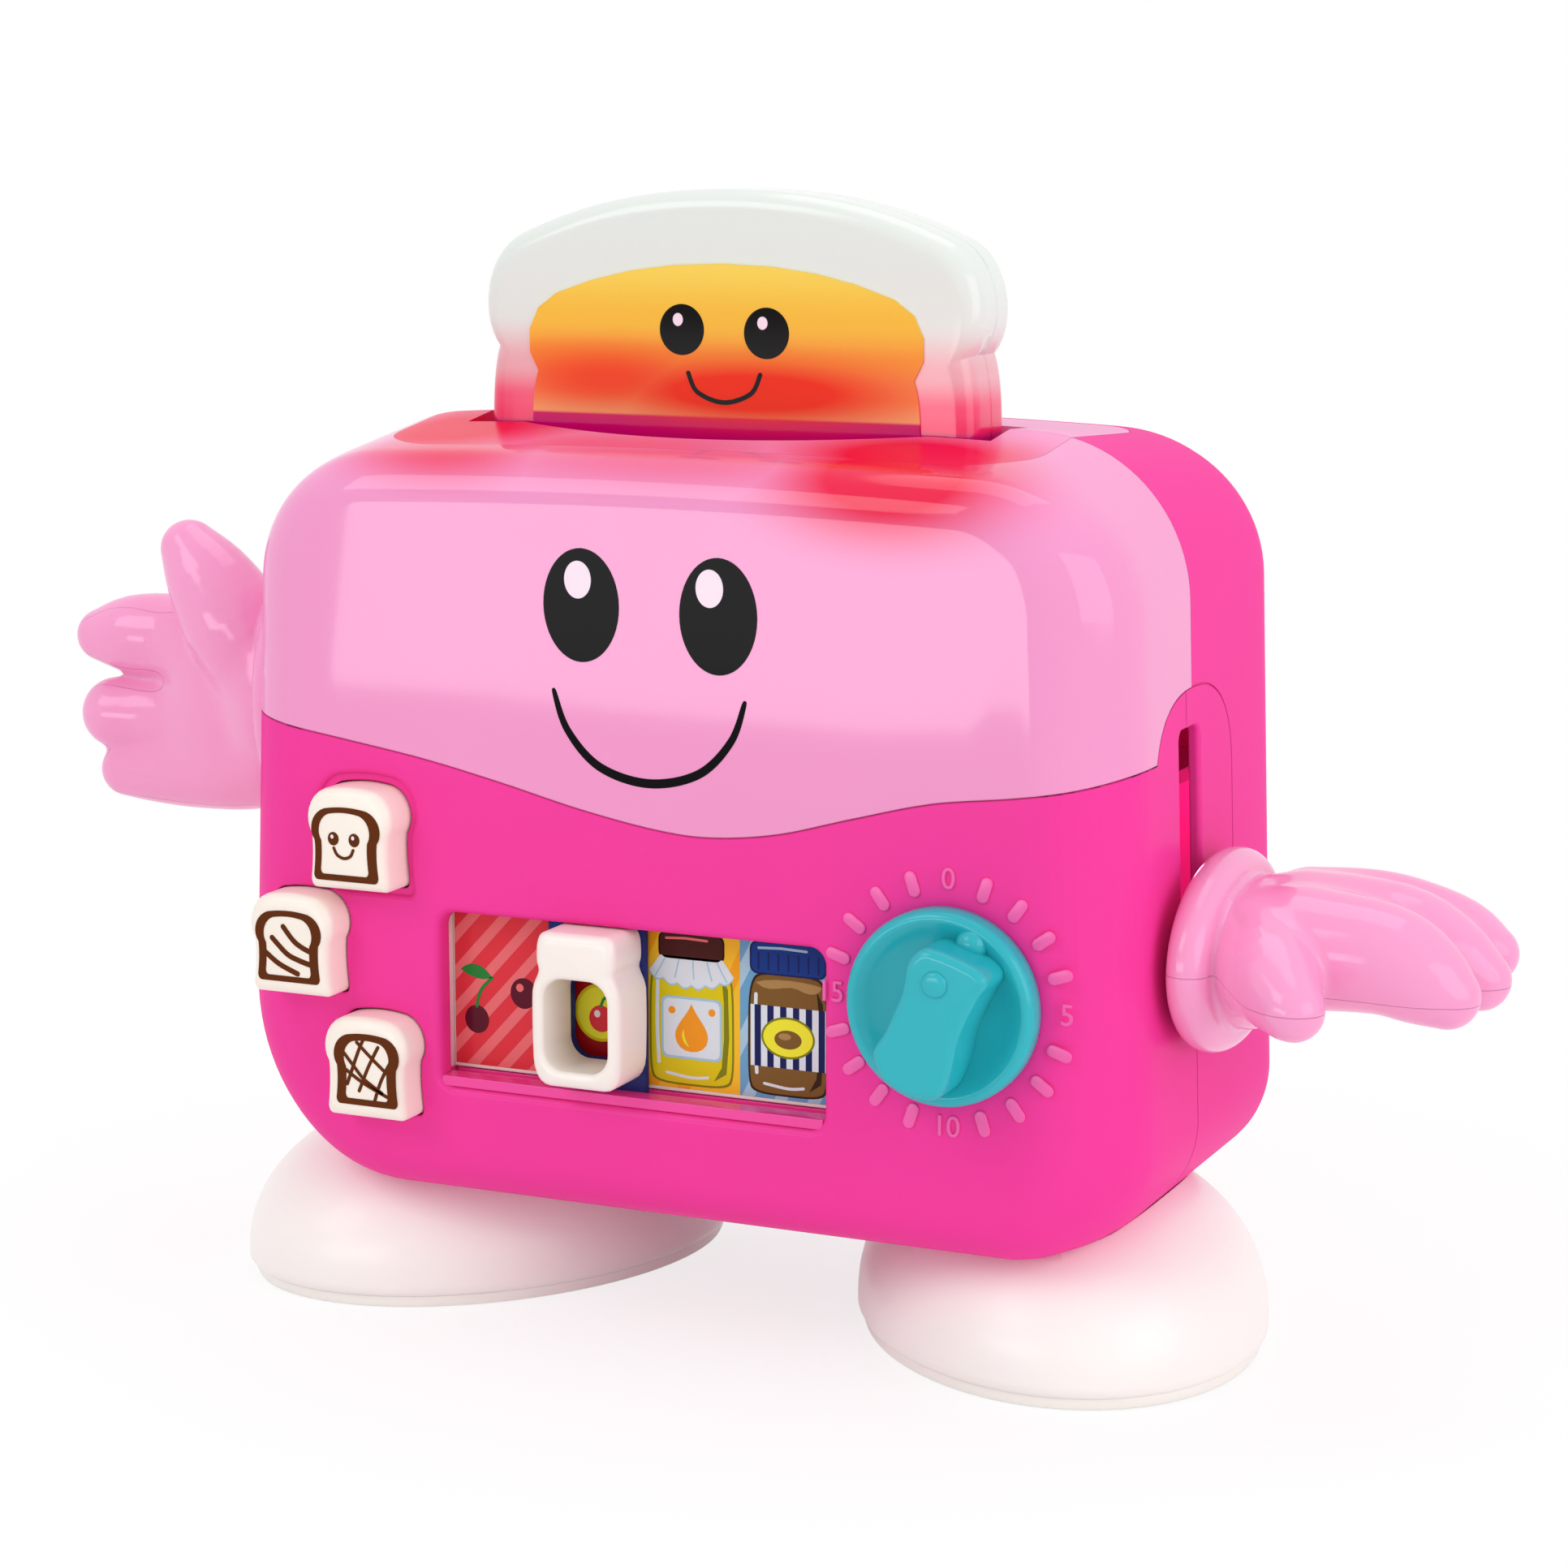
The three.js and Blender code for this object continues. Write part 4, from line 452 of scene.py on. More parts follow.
for key, colour in {
    "card_red": (232, 60, 72), "card_pale": (244, 120, 124), "card_navy": (44, 52, 120),
    "card_yellow": (252, 196, 48), "card_blue": (110, 168, 208), "jam": (160, 16, 26), "lid_dark": (74, 28, 24),
    "honey": (226, 206, 24), "label": (226, 234, 240), "spread": (128, 92, 44), "lid_blue": (28, 60, 140),
    "lemon": (246, 240, 60), "leaf": (46, 140, 60), "orange": (248, 156, 36), "stripe_navy": (28, 34, 92),
    "pale_blue": (170, 206, 226), "plum": (96, 24, 44), "jam_dark": (96, 6, 16), "honey_dark": (132, 132, 20),
    "card_amber": (250, 168, 32), "lid_deep": (40, 14, 12), "spread_dark": (58, 34, 14), "spread_pale": (176, 138, 84),
}.items():
    mats[key] = ink("print_" + key, rgb(*colour), peel=0.01)

# Painted glow: the red light inside the slot is painted as soft, faintly glowing red spots on the plastic round it
tint_spots(mats["pink"], [((57, -44, 207), (48, 42, 24), 1.25), ((-56, -44, 211), (46, 30, 16), 0.9),
                          ((0, -46, 212), (96, 24, 15), 0.6)], GLOW_RED, 0.08)
tint_spots(mats["collar"], [((56, -30, 211), (52, 36, 24), 1.2), ((-66, -20, 212), (58, 46, 24), 1.1),
                            ((-20, -36, 211), (80, 26, 20), 0.6)], GLOW_RED, 0.08)
# Painted glow and shade on the toast: red and purple towards its foot, where the slot's red light falls, with a faint
# glow; only the pale grey at the top is its own colour
height_ramp(mats["toast"], [(150, rgb(150, 0, 90)), (212.5, rgb(176, 4, 112)), (214.5, rgb(242, 26, 100)),
                            (219, rgb(242, 66, 116)), (227, rgb(234, 170, 180)), (239, rgb(226, 231, 226))], 0.04)
# The picture is printed yellow to orange; its deepening towards the foot is partly painted glow, and the purple below
# the slot's lip is painted glow and shade of the slot's red light
height_ramp(mats["sticker"], [(206, rgb(170, 0, 100)), (215.6, rgb(206, 0, 122)), (216.3, rgb(250, 190, 126)),
                              (222, rgb(249, 170, 96)), (230, rgb(249, 158, 60)), (238, rgb(251, 196, 70)),
                              (252, rgb(252, 220, 96))])
# Painted glow: the slot's red light as a red band across the picture
tint_spots(mats["sticker"], [((8, -11, 221.8), (74, 70, 14), 1.15), ((-30, -11, 224), (52, 70, 14), 0.9)],
           rgb(244, 46, 14))
# Painted reflection: light from the pink body painted as pink patches on the white feet beside it
tint_spots(mats["white"], [((-62, 10, 42), (52, 58, 26), 0.75), ((66, 2, 44), (46, 46, 24), 0.3)], rgb(250, 150, 200))
height_ramp(mats["tray"], [(40, MAGENTA), (62.2, MAGENTA), (62.5, rgb(252, 214, 226)), (110, rgb(253, 243, 236))])


# Housing

def inset(y, depth, radius):
    into = max(0.0, y - (depth - radius))
    return radius - math.sqrt(max(0.0, radius * radius - into * into))


def low_radius(y, side):
    """The lower corner tightens towards the back, on the right from the front face on."""
    start, stop, wide = (-51, -20, 32) if side > 0 else (-30, 15, LOW_R)
    share = min(1, max(0, (y - start) / (stop - start)))
    return wide + (TIGHT_R - wide) * share * share * (3 - 2 * share)


def housing_ring(y, off, corner_steps, crown_steps):
    front, away = y <= 0, abs(y)
    depth = (FRONT if front else REAR) - off
    slope = (FRONT_SLOPE if front else REAR_SLOPE) * away
    side_in, top_in, low_in = (off + inset(away, depth, fillet - off) for fillet in (
        SIDE_F, FRONT_TOP_F if front else REAR_TOP_F, FRONT_LOW_F if front else REAR_LOW_F))
    top_in += slope
    top_x, top_z = HALF - LEAN - TOP_R, TOP - TOP_R
    tilt = math.atan(2 * CROWN / top_x)
    halves = []
    for side in (1, -1):
        r = low_radius(y, side)
        low_x, low_z = HALF - r, BOTTOM + r
        lean = math.atan(LEAN / (top_z - low_z))
        half = []
        for x, z, radius, up, start, stop in ((low_x, low_z, r, low_in, -math.pi / 2, lean),
                                              (top_x, top_z, TOP_R, top_in, lean, math.pi / 2 - tilt)):
            for i in range(corner_steps + 1):
                a = start + i / corner_steps * (stop - start)
                half.append((x + (radius - side_in) * math.cos(a), z + (radius - up) * math.sin(a)))
        end_x, end_z = half[-1]
        for i in range(1, crown_steps):
            share = 1 - i / crown_steps
            half.append((end_x * share, end_z + CROWN * (1 - share * share)))
        halves.append([(side * x, y, z) for x, z in half])
    right, left = halves
    return right + [(0, y, end_z + CROWN)] + left[::-1]


def housing(name, off, corner_steps=22, fillet_steps=12, crown_steps=10):
    front, rear, radius = FRONT - off, REAR - off, SIDE_F - off
    rounds = [radius * math.sin(i / fillet_steps * math.pi / 2) for i in range(fillet_steps + 1)]
    ys = [-(front - radius) - r for r in reversed(rounds)]
    ys += [-(front - radius) * (1 - i / 4) for i in range(1, 5)]
    ys += [(rear - radius) * i / 4 for i in range(1, 4)]
    ys += [rear - radius + r for r in rounds]
    return loft(name, [housing_ring(y, off, corner_steps, crown_steps) for y in ys])


def below_wave(step):
    knots = [(x * HALF, WAVE_LOW + z * WAVE_RISE + step) for x, z in WAVE]
    edge = knots[-1][0]
    return prism("wave", smooth_line(knots, 10) + [(edge, 0), (-edge, 0)], "xz", -FRONT - PAST, PAST)


# The arch round the lever slot, on the right side
ARCH_HALF, ARCH_MIDDLE, ARCH_TOP, ARCH_SPRING, ARCH_POWER, ARCH_REACH = 27.5, 1.5, 158.0, 136.0, 2.4, 24.0
TONGUE_FRONT, TONGUE_LOW = -4.0, 92.0


def arch_region(step, floor=BOTTOM):
    reach, rise = ARCH_HALF + step, ARCH_TOP - ARCH_SPRING + step
    points = []
    for i in range(61):
        a = i / 60 * math.pi
        c, s = math.cos(a), math.sin(a)
        points.append((ARCH_MIDDLE + math.copysign(reach * abs(c) ** (2 / ARCH_POWER), c),
                       ARCH_SPRING + rise * s ** (2 / ARCH_POWER)))
    points += [(ARCH_MIDDLE - reach, floor), (ARCH_MIDDLE + reach, floor)]
    return prism("arch", points, "yz", HALF - ARCH_REACH, HALF + PAST)


def tongue_region(step, back=0.3):
    """Where the rear shell reaches forward of the seam, inside the arch."""
    slab = block("tongue_region", HALF - ARCH_REACH, HALF + PAST, TONGUE_FRONT - step, back, TONGUE_LOW - step, TOP)
    return keep_inside(slab, arch_region(step - 0.15))


COLLAR_X, COLLAR_FRONT, COLLAR_REAR = 82.0, 36.0, 50.0


def collar_region(step):
    x, q = COLLAR_X + step, math.pi / 2
    wide, small = 20 + step, 12 + step
    front, rear = wide - COLLAR_FRONT - step, COLLAR_REAR + step - small
    points = (arc(x - wide, front, wide, -q, 0, 16) + arc(x - small, rear, small, 0, q, 12)
              + arc(small - x, rear, small, q, 2 * q, 12) + arc(wide - x, front, wide, 2 * q, 3 * q, 16))
    return prism("collar", points, "xy", TOP - 19, TOP + PAST)


def slot_outline():
    end, side, lens = 67, 12, 52
    points = [(end, side), (-end, side), (-end, -side)]
    for i in range(41):
        share = i / 20 - 1
        points.append((lens * share, -side - 14 * (1 - share * share)))
    return points + [(end, -side)]


LEVER_Z, TRAVEL = 98.4, 43.0
SLOT_FRONT, SLOT_BACK, SLOT_CORNER = -9.0, 5.0, 2.5
ARM_Z = 142.0


def side_at(z):
    """How far out the leaning side wall is at a height."""
    low, high = BOTTOM + TIGHT_R, TOP - TOP_R
    return HALF - LEAN * min(1, max(0, (z - low) / (high - low)))


def lever_slot():
    """The slot's cutter, flared at its mouth so that its edges are rounded."""
    low, high, soft = LEVER_Z - 7.5, LEVER_Z + TRAVEL + 7.5, 1.1
    rings = []
    for depth, out in [(24, 0), (soft, 0), *quarter(soft, 0.2, 7), (-6, soft)]:
        outline = rounded_rect(SLOT_FRONT - out, SLOT_BACK + out, low - out, high + out, SLOT_CORNER + out)
        rings.append([(side_at(z) - depth, y, z) for y, z in outline])
    return loft("lever_slot", rings)


def flared(outline, face, soft, deep=-40.0):
    """A cutter through the front face whose mouth widens in a quarter round; outline(step) gives its shape."""
    mouth = [(face + down, out) for down, out in quarter(soft, 0.2)]
    return layered("flared", outline, [(deep, 0), (face + soft, 0), *mouth, (face - PAST, soft)])


# Half a slice of bread's outline in shares of its half width and its height, as a curve for bezier
BREAD = [(0.8, 0), (0.88, 0), (0.925, 0.03), (0.93, 0.08), (0.883, 0.27), (0.873, 0.42), (0.9, 0.54), (1.08, 0.66),
         (1, 0.9), (0.6, 0.97), (0.2, 1.01)]


def bread(width, height, x, z, steps=10):
    shares = BREAD + [(-across, up) for across, up in reversed(BREAD)]
    return bezier([(x + width / 2 * across, z - height / 2 + height * up) for across, up in shares], steps)


# Each button's middle, and the widths and heights of a cap, its hole and the dish round the top one
BUTTONS = {"smile_button": (-74.4, 118.6), "stripe_button": (-90.8, 92.1), "lattice_button": (-71.1, 64.0)}
CAP_SIZE, HOLE_SIZE, DISH_SIZE, DISH_DEEP = (22.8, 24.4), (23.6, 25.2), (26.8, 28.6), 1.4

# The picture window's left, right, low and high edges, its sill, its corners and the face behind it
WINDOW = (-55.5, 43.2, 61.2, 101.4)
WINDOW_SILL, WINDOW_R, WINDOW_BACK, WINDOW_RIM = 59.6, 4, -45.6, 1.5
DIAL_X, DIAL_Z, DIAL_R, SHAFT_HOLE_R = 73.2, 92.0, 22.3, 4.9

# On the back: screws, and openings as left, right, low, high and corner radius
SCREWS = [(-96, 168), (103, 168), (-96, 57), (88, 56)]
DOOR_HOLE, SWITCH_HOLE = (-36.3, 36.3, 43.7, 106.3, 4), (59, 73, 105.5, 110.5, 1.25)
SPEAKER_X, SPEAKER_SLOTS = -66, {98: 16, 103: 24, 108: 28, 113: 24, 118: 16}


def bread_button(name, size, steps=10):
    """A button's outline as a function of how far it is widened."""
    return lambda step: bread(size[0] + step * 2, size[1] + step * 2, *BUTTONS[name], steps)


def build_housing():
    shell = cut(housing("housing_outer", 0), housing("housing_inner", WALL, 12, 8, 6))
    front = block("front_region", -FAR, FAR, -FRONT - PAST, -SEAM_GAP, 0, FAR * 2)
    rear = block("rear_region", -FAR, FAR, SEAM_GAP, REAR + PAST, 0, FAR * 2)
    slab = keep_inside(copy_of(shell, "slab"), collar_region(-SEAM_GAP))
    cut(slab, prism("slot", slot_outline(), "xy", 150, 240))
    cut(shell, collar_region(SEAM_GAP))
    cut(shell, lever_slot())
    cut(shell, cylinder("arm_hole", "x", 8.0, -HALF - PAST, -104, (0, 0, ARM_Z)))
    front_half = keep_inside(copy_of(shell, "front_half"), front, keep=True)
    tongue = keep_inside(copy_of(shell, "tongue"), tongue_region(0))
    rear_half = join(keep_inside(shell, rear, keep=True), tongue)
    lower = keep_inside(copy_of(front_half, "lower"), join(below_wave(-SEAM_GAP), arch_region(-SEAM_GAP)))
    upper = cut(front_half, join(below_wave(SEAM_GAP), arch_region(SEAM_GAP)))
    cut(lower, tongue_region(0.3, 1))

    # Grooves along the wavy line, round the arch and down the seam
    ridge = cut(copy_of(lower, "ridge"), join(below_wave(-WAVE_GROOVE), arch_region(-WAVE_GROOVE)))
    cut(lower, cut(ridge, housing("core", WAVE_GROOVE)))
    band = join(cut(arch_region(ARCH_GROOVE, 80), arch_region(-ARCH_GROOVE, 20)),
                block("line", -FAR, FAR, -0.01, 0.34, 0, TONGUE_LOW - 6))
    cut(rear_half, cut(band, housing("core", ARCH_GROOVE_DEEP)))

    left, right, low, high = WINDOW
    frame_outline = rounded_rect(left - WINDOW_RIM, right + WINDOW_RIM, low, high + WINDOW_RIM, WINDOW_R)
    rim = prism("rim", frame_outline, "xz", -49.7, WINDOW_BACK)
    join(lower, cut(rim, prism("hole", rounded_rect(left, right, low - WINDOW_RIM, high, WINDOW_R), "xz", -60, -40)))
    cut(lower, flared(lambda step: rounded_rect(left - step, right + step, WINDOW_SILL - step, high + step,
                                                WINDOW_R + step), -FRONT, 2.2, WINDOW_BACK))
    cut(lower, cylinder("shaft_hole", "y", SHAFT_HOLE_R, -60, -40, (DIAL_X, 0, DIAL_Z)))
    for name in BUTTONS:
        cut(lower, flared(bread_button(name, HOLE_SIZE), -FRONT, 0.5, -43.2))
    cut(lower, flared(bread_button("smile_button", DISH_SIZE), -FRONT, DISH_DEEP, -FRONT + DISH_DEEP))

    for x, z in SCREWS:
        cut(rear_half, cylinder("screw_hole", "y", 3.5, 58, 90, (x, 0, z)))
    slots = [(SPEAKER_X - long / 2, SPEAKER_X + long / 2, z - 1.2, z + 1.2, 1.19) for z, long in SPEAKER_SLOTS.items()]
    for hole in (DOOR_HOLE, SWITCH_HOLE, *slots):
        cut(rear_half, prism("hole", rounded_rect(*hole), "xz", 60, 90))

    collar_rear = keep_inside(copy_of(slab, "collar_rear"), rear)
    collar_front = keep_inside(slab, front)
    for piece, name, node, key in (
            (upper, "front_upper_moulding", "front_upper_shell", "pink"),
            (lower, "front_lower_moulding", "front_lower_shell", "magenta"),
            (rear_half, "rear_moulding", "rear_shell", "magenta"),
            (collar_front, "collar_front_moulding", "slot_collar_front", "collar"),
            (collar_rear, "collar_rear_moulding", "slot_collar_rear", "collar")):
        piece.name = name
        finish_piece(piece, "housing", mats[key], node, node)


# Toast

TOAST_BOTTOM, TOAST_H = 156.3, 112.0


def toast_outline(inset_by):
    w, low, neck, h, r = 63.0, 62.5, 60.5, TOAST_H, 5.0
    half = bezier([
        (0, 0), (low * 0.3, 0), (low * 0.6, 0), (low - r * 1.4, 0), (low - r * 0.73, 0), (low - r * 0.37, r * 0.33),
        (low - r * 0.3, r), (low - r * 0.2, h * 0.2), (low, h * 0.35), (low, h * 0.5), (low, h * 0.58),
        (low - 0.67, h * 0.637), (neck, h * 0.67), (w + r * 0.6, h * 0.73), (w + r * 0.3, h * 0.865),
        (w * 0.86, h * 0.905), (w * 0.62, h * 0.965), (w * 0.36, h), (0, h)], 14)
    kx, kz = (w - inset_by) / w, (h / 2 - inset_by) / (h / 2)
    return [(x * kx, TOAST_BOTTOM + h / 2 + (z - h / 2) * kz) for x, z in mirrored(half)]


def build_toast():
    half, edge = 11.0, quarter(5.0, steps=9)
    for name, side in (("toast_front", -1), ("toast_back", 1)):
        levels = [(side * 0.15, 0.35), (side * 0.5, 0)] + [(side * (half - down), step) for down, step in edge]
        finish_piece(layered(name + "_moulding", toast_outline, levels), "toast", mats["toast"], name, name)


# Flat prints: thin raised outlines just in front of a face

def ellipse(x, z, a, b, steps=48):
    return [(x + a * math.cos(t), z + b * math.sin(t)) for t in np.linspace(0, 2 * math.pi, steps, endpoint=False)]


def stroke(points, width, taper=None):
    """The outline of a line of some width along points, with round ends."""
    p = np.array(points, float)
    along = np.gradient(p, axis=0)
    along /= np.linalg.norm(along, axis=1)[:, None]
    side = np.stack([-along[:, 1], along[:, 0]], 1)
    half = np.array([width / 2 * (taper(i / (len(p) - 1)) if taper else 1) for i in range(len(p))])

    def end(at, way, reach):
        a = math.atan2(way[1], way[0])
        return [(at[0] + reach * math.cos(a - t), at[1] + reach * math.sin(a - t))
                for t in np.linspace(0, math.pi, 9)[1:-1]]

    left, right = p + side * half[:, None], p - side * half[:, None]
    return [*map(tuple, left), *end(p[-1], side[-1], half[-1]), *map(tuple, right[::-1]),
            *end(p[0], -side[0], half[0])]


def print_on(name, outline, face, lift, key, body, slot):
    """A flat print in the xz plane whose back lies on a face."""
    finish_piece(prism(name, outline, "xz", face - lift, face - 0.01), body, mats[key], slot, angle=30)


def build_face():
    def mark(name, outline, lift, key="black", below=0.0):
        print_on(name, outline, face - below, lift, key, body, slot)

    face, body, slot = -FRONT, "housing", "front_upper_shell"
    for name, x, z, tall, cx, cz in (("left_eye", -16.8, 175.8, 13.0, -17.6, 181.6),
                                     ("right_eye", 17.5, 175.0, 13.2, 15.4, 181.2)):
        mark(name, ellipse(x, z, 9.6, tall), 0.08)
        mark(name + "_catchlight", ellipse(cx, cz, 3.4, 4.3), 0.05, "light", 0.08)
    smile = smooth_line([(-24, 156), (-20.6, 147), (-12.5, 139), (0, 136), (12.5, 139), (20.6, 147), (24, 156)], 10)
    mark("mouth", stroke(smile, 2.1, lambda t: 0.45 + 0.55 * math.sin(math.pi * t) ** 0.6), 0.08)

    face, body, slot = -11.55, "toast", "toast_sticker"
    for name, x, z in (("toast_left_eye", -10.2, 236.0), ("toast_right_eye", 11.4, 235.6)):
        mark(name, ellipse(x, z, 5.7, 5.9), 0.06)
        mark(name + "_catchlight", ellipse(x - 1.0, z + 2.3, 1.3, 1.5), 0.04, "light", 0.06)
    smile = smooth_line([(-8.6, 226.0), (-6.2, 221.6), (0.6, 219.4), (7.4, 221.6), (9.8, 226.0)], 10)
    mark("toast_mouth", stroke(smile, 1.1), 0.06)


BUTTON_FACE = -FRONT - 9


def rounded_cap(name, outline, back, face, soft):
    """A block with a quarter round at its front edge; outline(step) widens the shape by a step."""
    edge = [(face + down, -step) for down, step in quarter(soft, steps=10)]
    return layered(name, outline, [(back, 0), ((back + face) / 2, 0), *edge])


# Each button's brown outline: middle, width and height outside, and its thickness at the left, right, top and bottom
CRUSTS = {
    "smile_button": (-74.5, 117.5, 18.6, 17.6, 2.0, 2.8, 1.3, 1.5),
    "stripe_button": (-90.8, 91.7, 18.2, 17.2, 2.3, 2.6, 1.4, 1.4),
    "lattice_button": (-70.1, 63.8, 17.8, 17.4, 2.7, 2.8, 1.6, 1.5),
}


def build_buttons():
    for name, (cx, cz, wide, tall, at_left, at_right, at_top, at_foot) in CRUSTS.items():
        cap = rounded_cap(name + "_cap", bread_button(name, CAP_SIZE, 8), -46.6, BUTTON_FACE, 2.6)
        finish_piece(cap, name, mats["cream"], name, name, angle=60)
        crust = prism(name + "_crust", bread(wide, tall, cx, cz), "xz", BUTTON_FACE - 0.12, BUTTON_FACE - 0.01)
        inner = bread(wide - at_left - at_right, tall - at_top - at_foot, cx + (at_left - at_right) / 2,
                      cz + (at_foot - at_top) / 2)
        cut(crust, prism("inner", inner, "xz", BUTTON_FACE - 2, BUTTON_FACE + 2))
        finish_piece(crust, name, mats["brown"], name, angle=30)

    def mark(name, outline, button, lift=0.1, key="brown", below=0.0):
        print_on(name, outline, BUTTON_FACE - below, lift, key, button, button)

    x, z = -75.0, 118.7
    for side in (-1, 1):
        mark(f"button_eye_{side + 2}", ellipse(x + side * 2.8, z, 1.45, 1.6), "smile_button")
        mark(f"button_spark_{side + 2}", ellipse(x + side * 2.8 - 0.3, z + 0.5, 0.42, 0.5, 16), "smile_button", 0.04,
             "light", 0.1)
    smile = [(x - 2.7, z - 2.2), (x - 1.8, z - 3.8), (x, z - 4.5), (x + 1.7, z - 3.9), (x + 2.5, z - 2.4)]
    mark("button_mouth", stroke(smooth_line(smile, 6), 0.75), "smile_button")
    stripes = [[(-92.1, 96.4), (-89.4, 93.3), (-86.9, 91.7), (-83.6, 90.5)],
               [(-95.2, 93.5), (-91.2, 89.9), (-88.0, 88.6), (-85.0, 87.8)],
               [(-97.2, 89.9), (-93.4, 87.3), (-88.4, 85.3)]]
    for i, points in enumerate(stripes):
        mark(f"toast_stripe_{i + 1}", stroke(smooth_line(points, 6), 1.3), "stripe_button")
    bars = [[(-70.8, 71.2), (-72.4, 67.8), (-75.4, 60.0)], [(-66.9, 69.6), (-69.6, 64.6), (-72.2, 58.6)],
            [(-63.2, 67.0), (-66.2, 61.6), (-68.2, 56.0)], [(-77.2, 68.6), (-72.6, 63.4), (-70.6, 61.4), (-66.0, 58.6)],
            [(-72.6, 70.3), (-67.8, 66.1), (-63.4, 62.6)], [(-76.9, 64.2), (-71.2, 60.7), (-64.0, 57.6)]]
    for i, points in enumerate(bars):
        mark(f"lattice_bar_{i + 1}", stroke(smooth_line(points, 5), 0.85), "lattice_button", 0.08,
             below=0 if i < 3 else 0.05)


JAR_X = -15.2


def jar_half(grow):
    w, cap, neck = 11.5 + grow, 10.2 + grow, 9.7 + grow
    top, low, cap_low, shoulder = 101.2 + grow, 64.8 - grow, 93.6, 90.4
    return bezier([
        (0, low), (w * 0.3, low), (w * 0.45, low), (w - 4.6, low), (w - 2.0, low), (w - 0.4, low + 2.4),
        (w - 0.2, low + 6), (w, low + 12), (w + 0.1, shoulder - 8), (w - 0.1, shoulder - 3.4),
        (w - 0.5, shoulder - 0.8), (neck + 0.3, shoulder), (neck, (shoulder + cap_low) / 2),
        (neck, cap_low - 0.4), (cap, cap_low - 0.2), (cap, cap_low + 1.4), (cap, cap_low + 3), (cap, top - 3),
        (cap - 0.4, top - 1.8), (cap - 0.8, top - 0.3), (cap - 2, top), (cap - 3.6, top), (cap * 0.4, top),
        (cap * 0.2, top), (0, top)], 5)


def jar_outline(grow):
    """The jar's outline, with the same points at every growth."""
    kept, last = [], (math.inf, 0)
    for at, point in zip(jar_half(0), jar_half(grow)):
        if math.dist(last, at) > 0.15:
            kept.append(point)
            last = at
    return mirrored(kept, JAR_X)


def build_slider():
    body = rounded_cap("jar_frame", jar_outline, -45.4, -60, 2.4)
    left, right = JAR_X - 8.2, JAR_X + 8.2
    cut(body, flared(lambda step: rounded_rect(left - step, right + step, 68.8 - step, 90.4 + step, 5 + step),
                     -60, 1.5))
    finish_piece(body, "picture_slider", mats["ring"], "jar_slider", "jar_slider", angle=60)


def quad(x0, x1, z0, z1):
    return [(x0, z0), (x1, z0), (x1, z1), (x0, z1)]


def clip_poly(points, x0, x1, z0, z1):
    """Cuts a polygon to a rectangle."""
    for axis, limit, sign in ((0, x0, -1), (0, x1, 1), (1, z0, -1), (1, z1, 1)):
        out = []
        for p, q in zip(points, points[-1:] + points[:-1]):
            p_in, q_in = p[axis] * sign <= limit * sign, q[axis] * sign <= limit * sign
            if p_in != q_in:
                t = (limit - q[axis]) / (p[axis] - q[axis])
                out.append(tuple(q[k] + t * (p[k] - q[k]) for k in (0, 1)))
            if p_in:
                out.append(p)
        points = out
    return points


def jar_shape(x, w, low, high, step=0.0):
    """A jar's outline from its foot to its neck."""
    w, low, high = w + step, low - step, high + step
    return mirrored(bezier([
        (0, low), (w * 0.5, low), (w * 0.84, low), (w * 0.93, low + 1.4), (w * 1.02, low + 3), (w, low + 9),
        (w, (low + high) / 2), (w, high - 7), (w * 0.98, high - 3.4), (w * 0.86, high - 1.6),
        (w * 0.8, high - 0.8), (w * 0.8, high), (0, high)], 6), x)


CARD_LEFT, CARD_RIGHT, CARD_LOW, CARD_HIGH = -56.0, 43.7, 63.1, 102.0
CARD_EDGES = [CARD_LEFT, -30.8, -6.15, 18.5, CARD_RIGHT]
CARD_FACE = -42.0
JAR_FOOT = 64.4


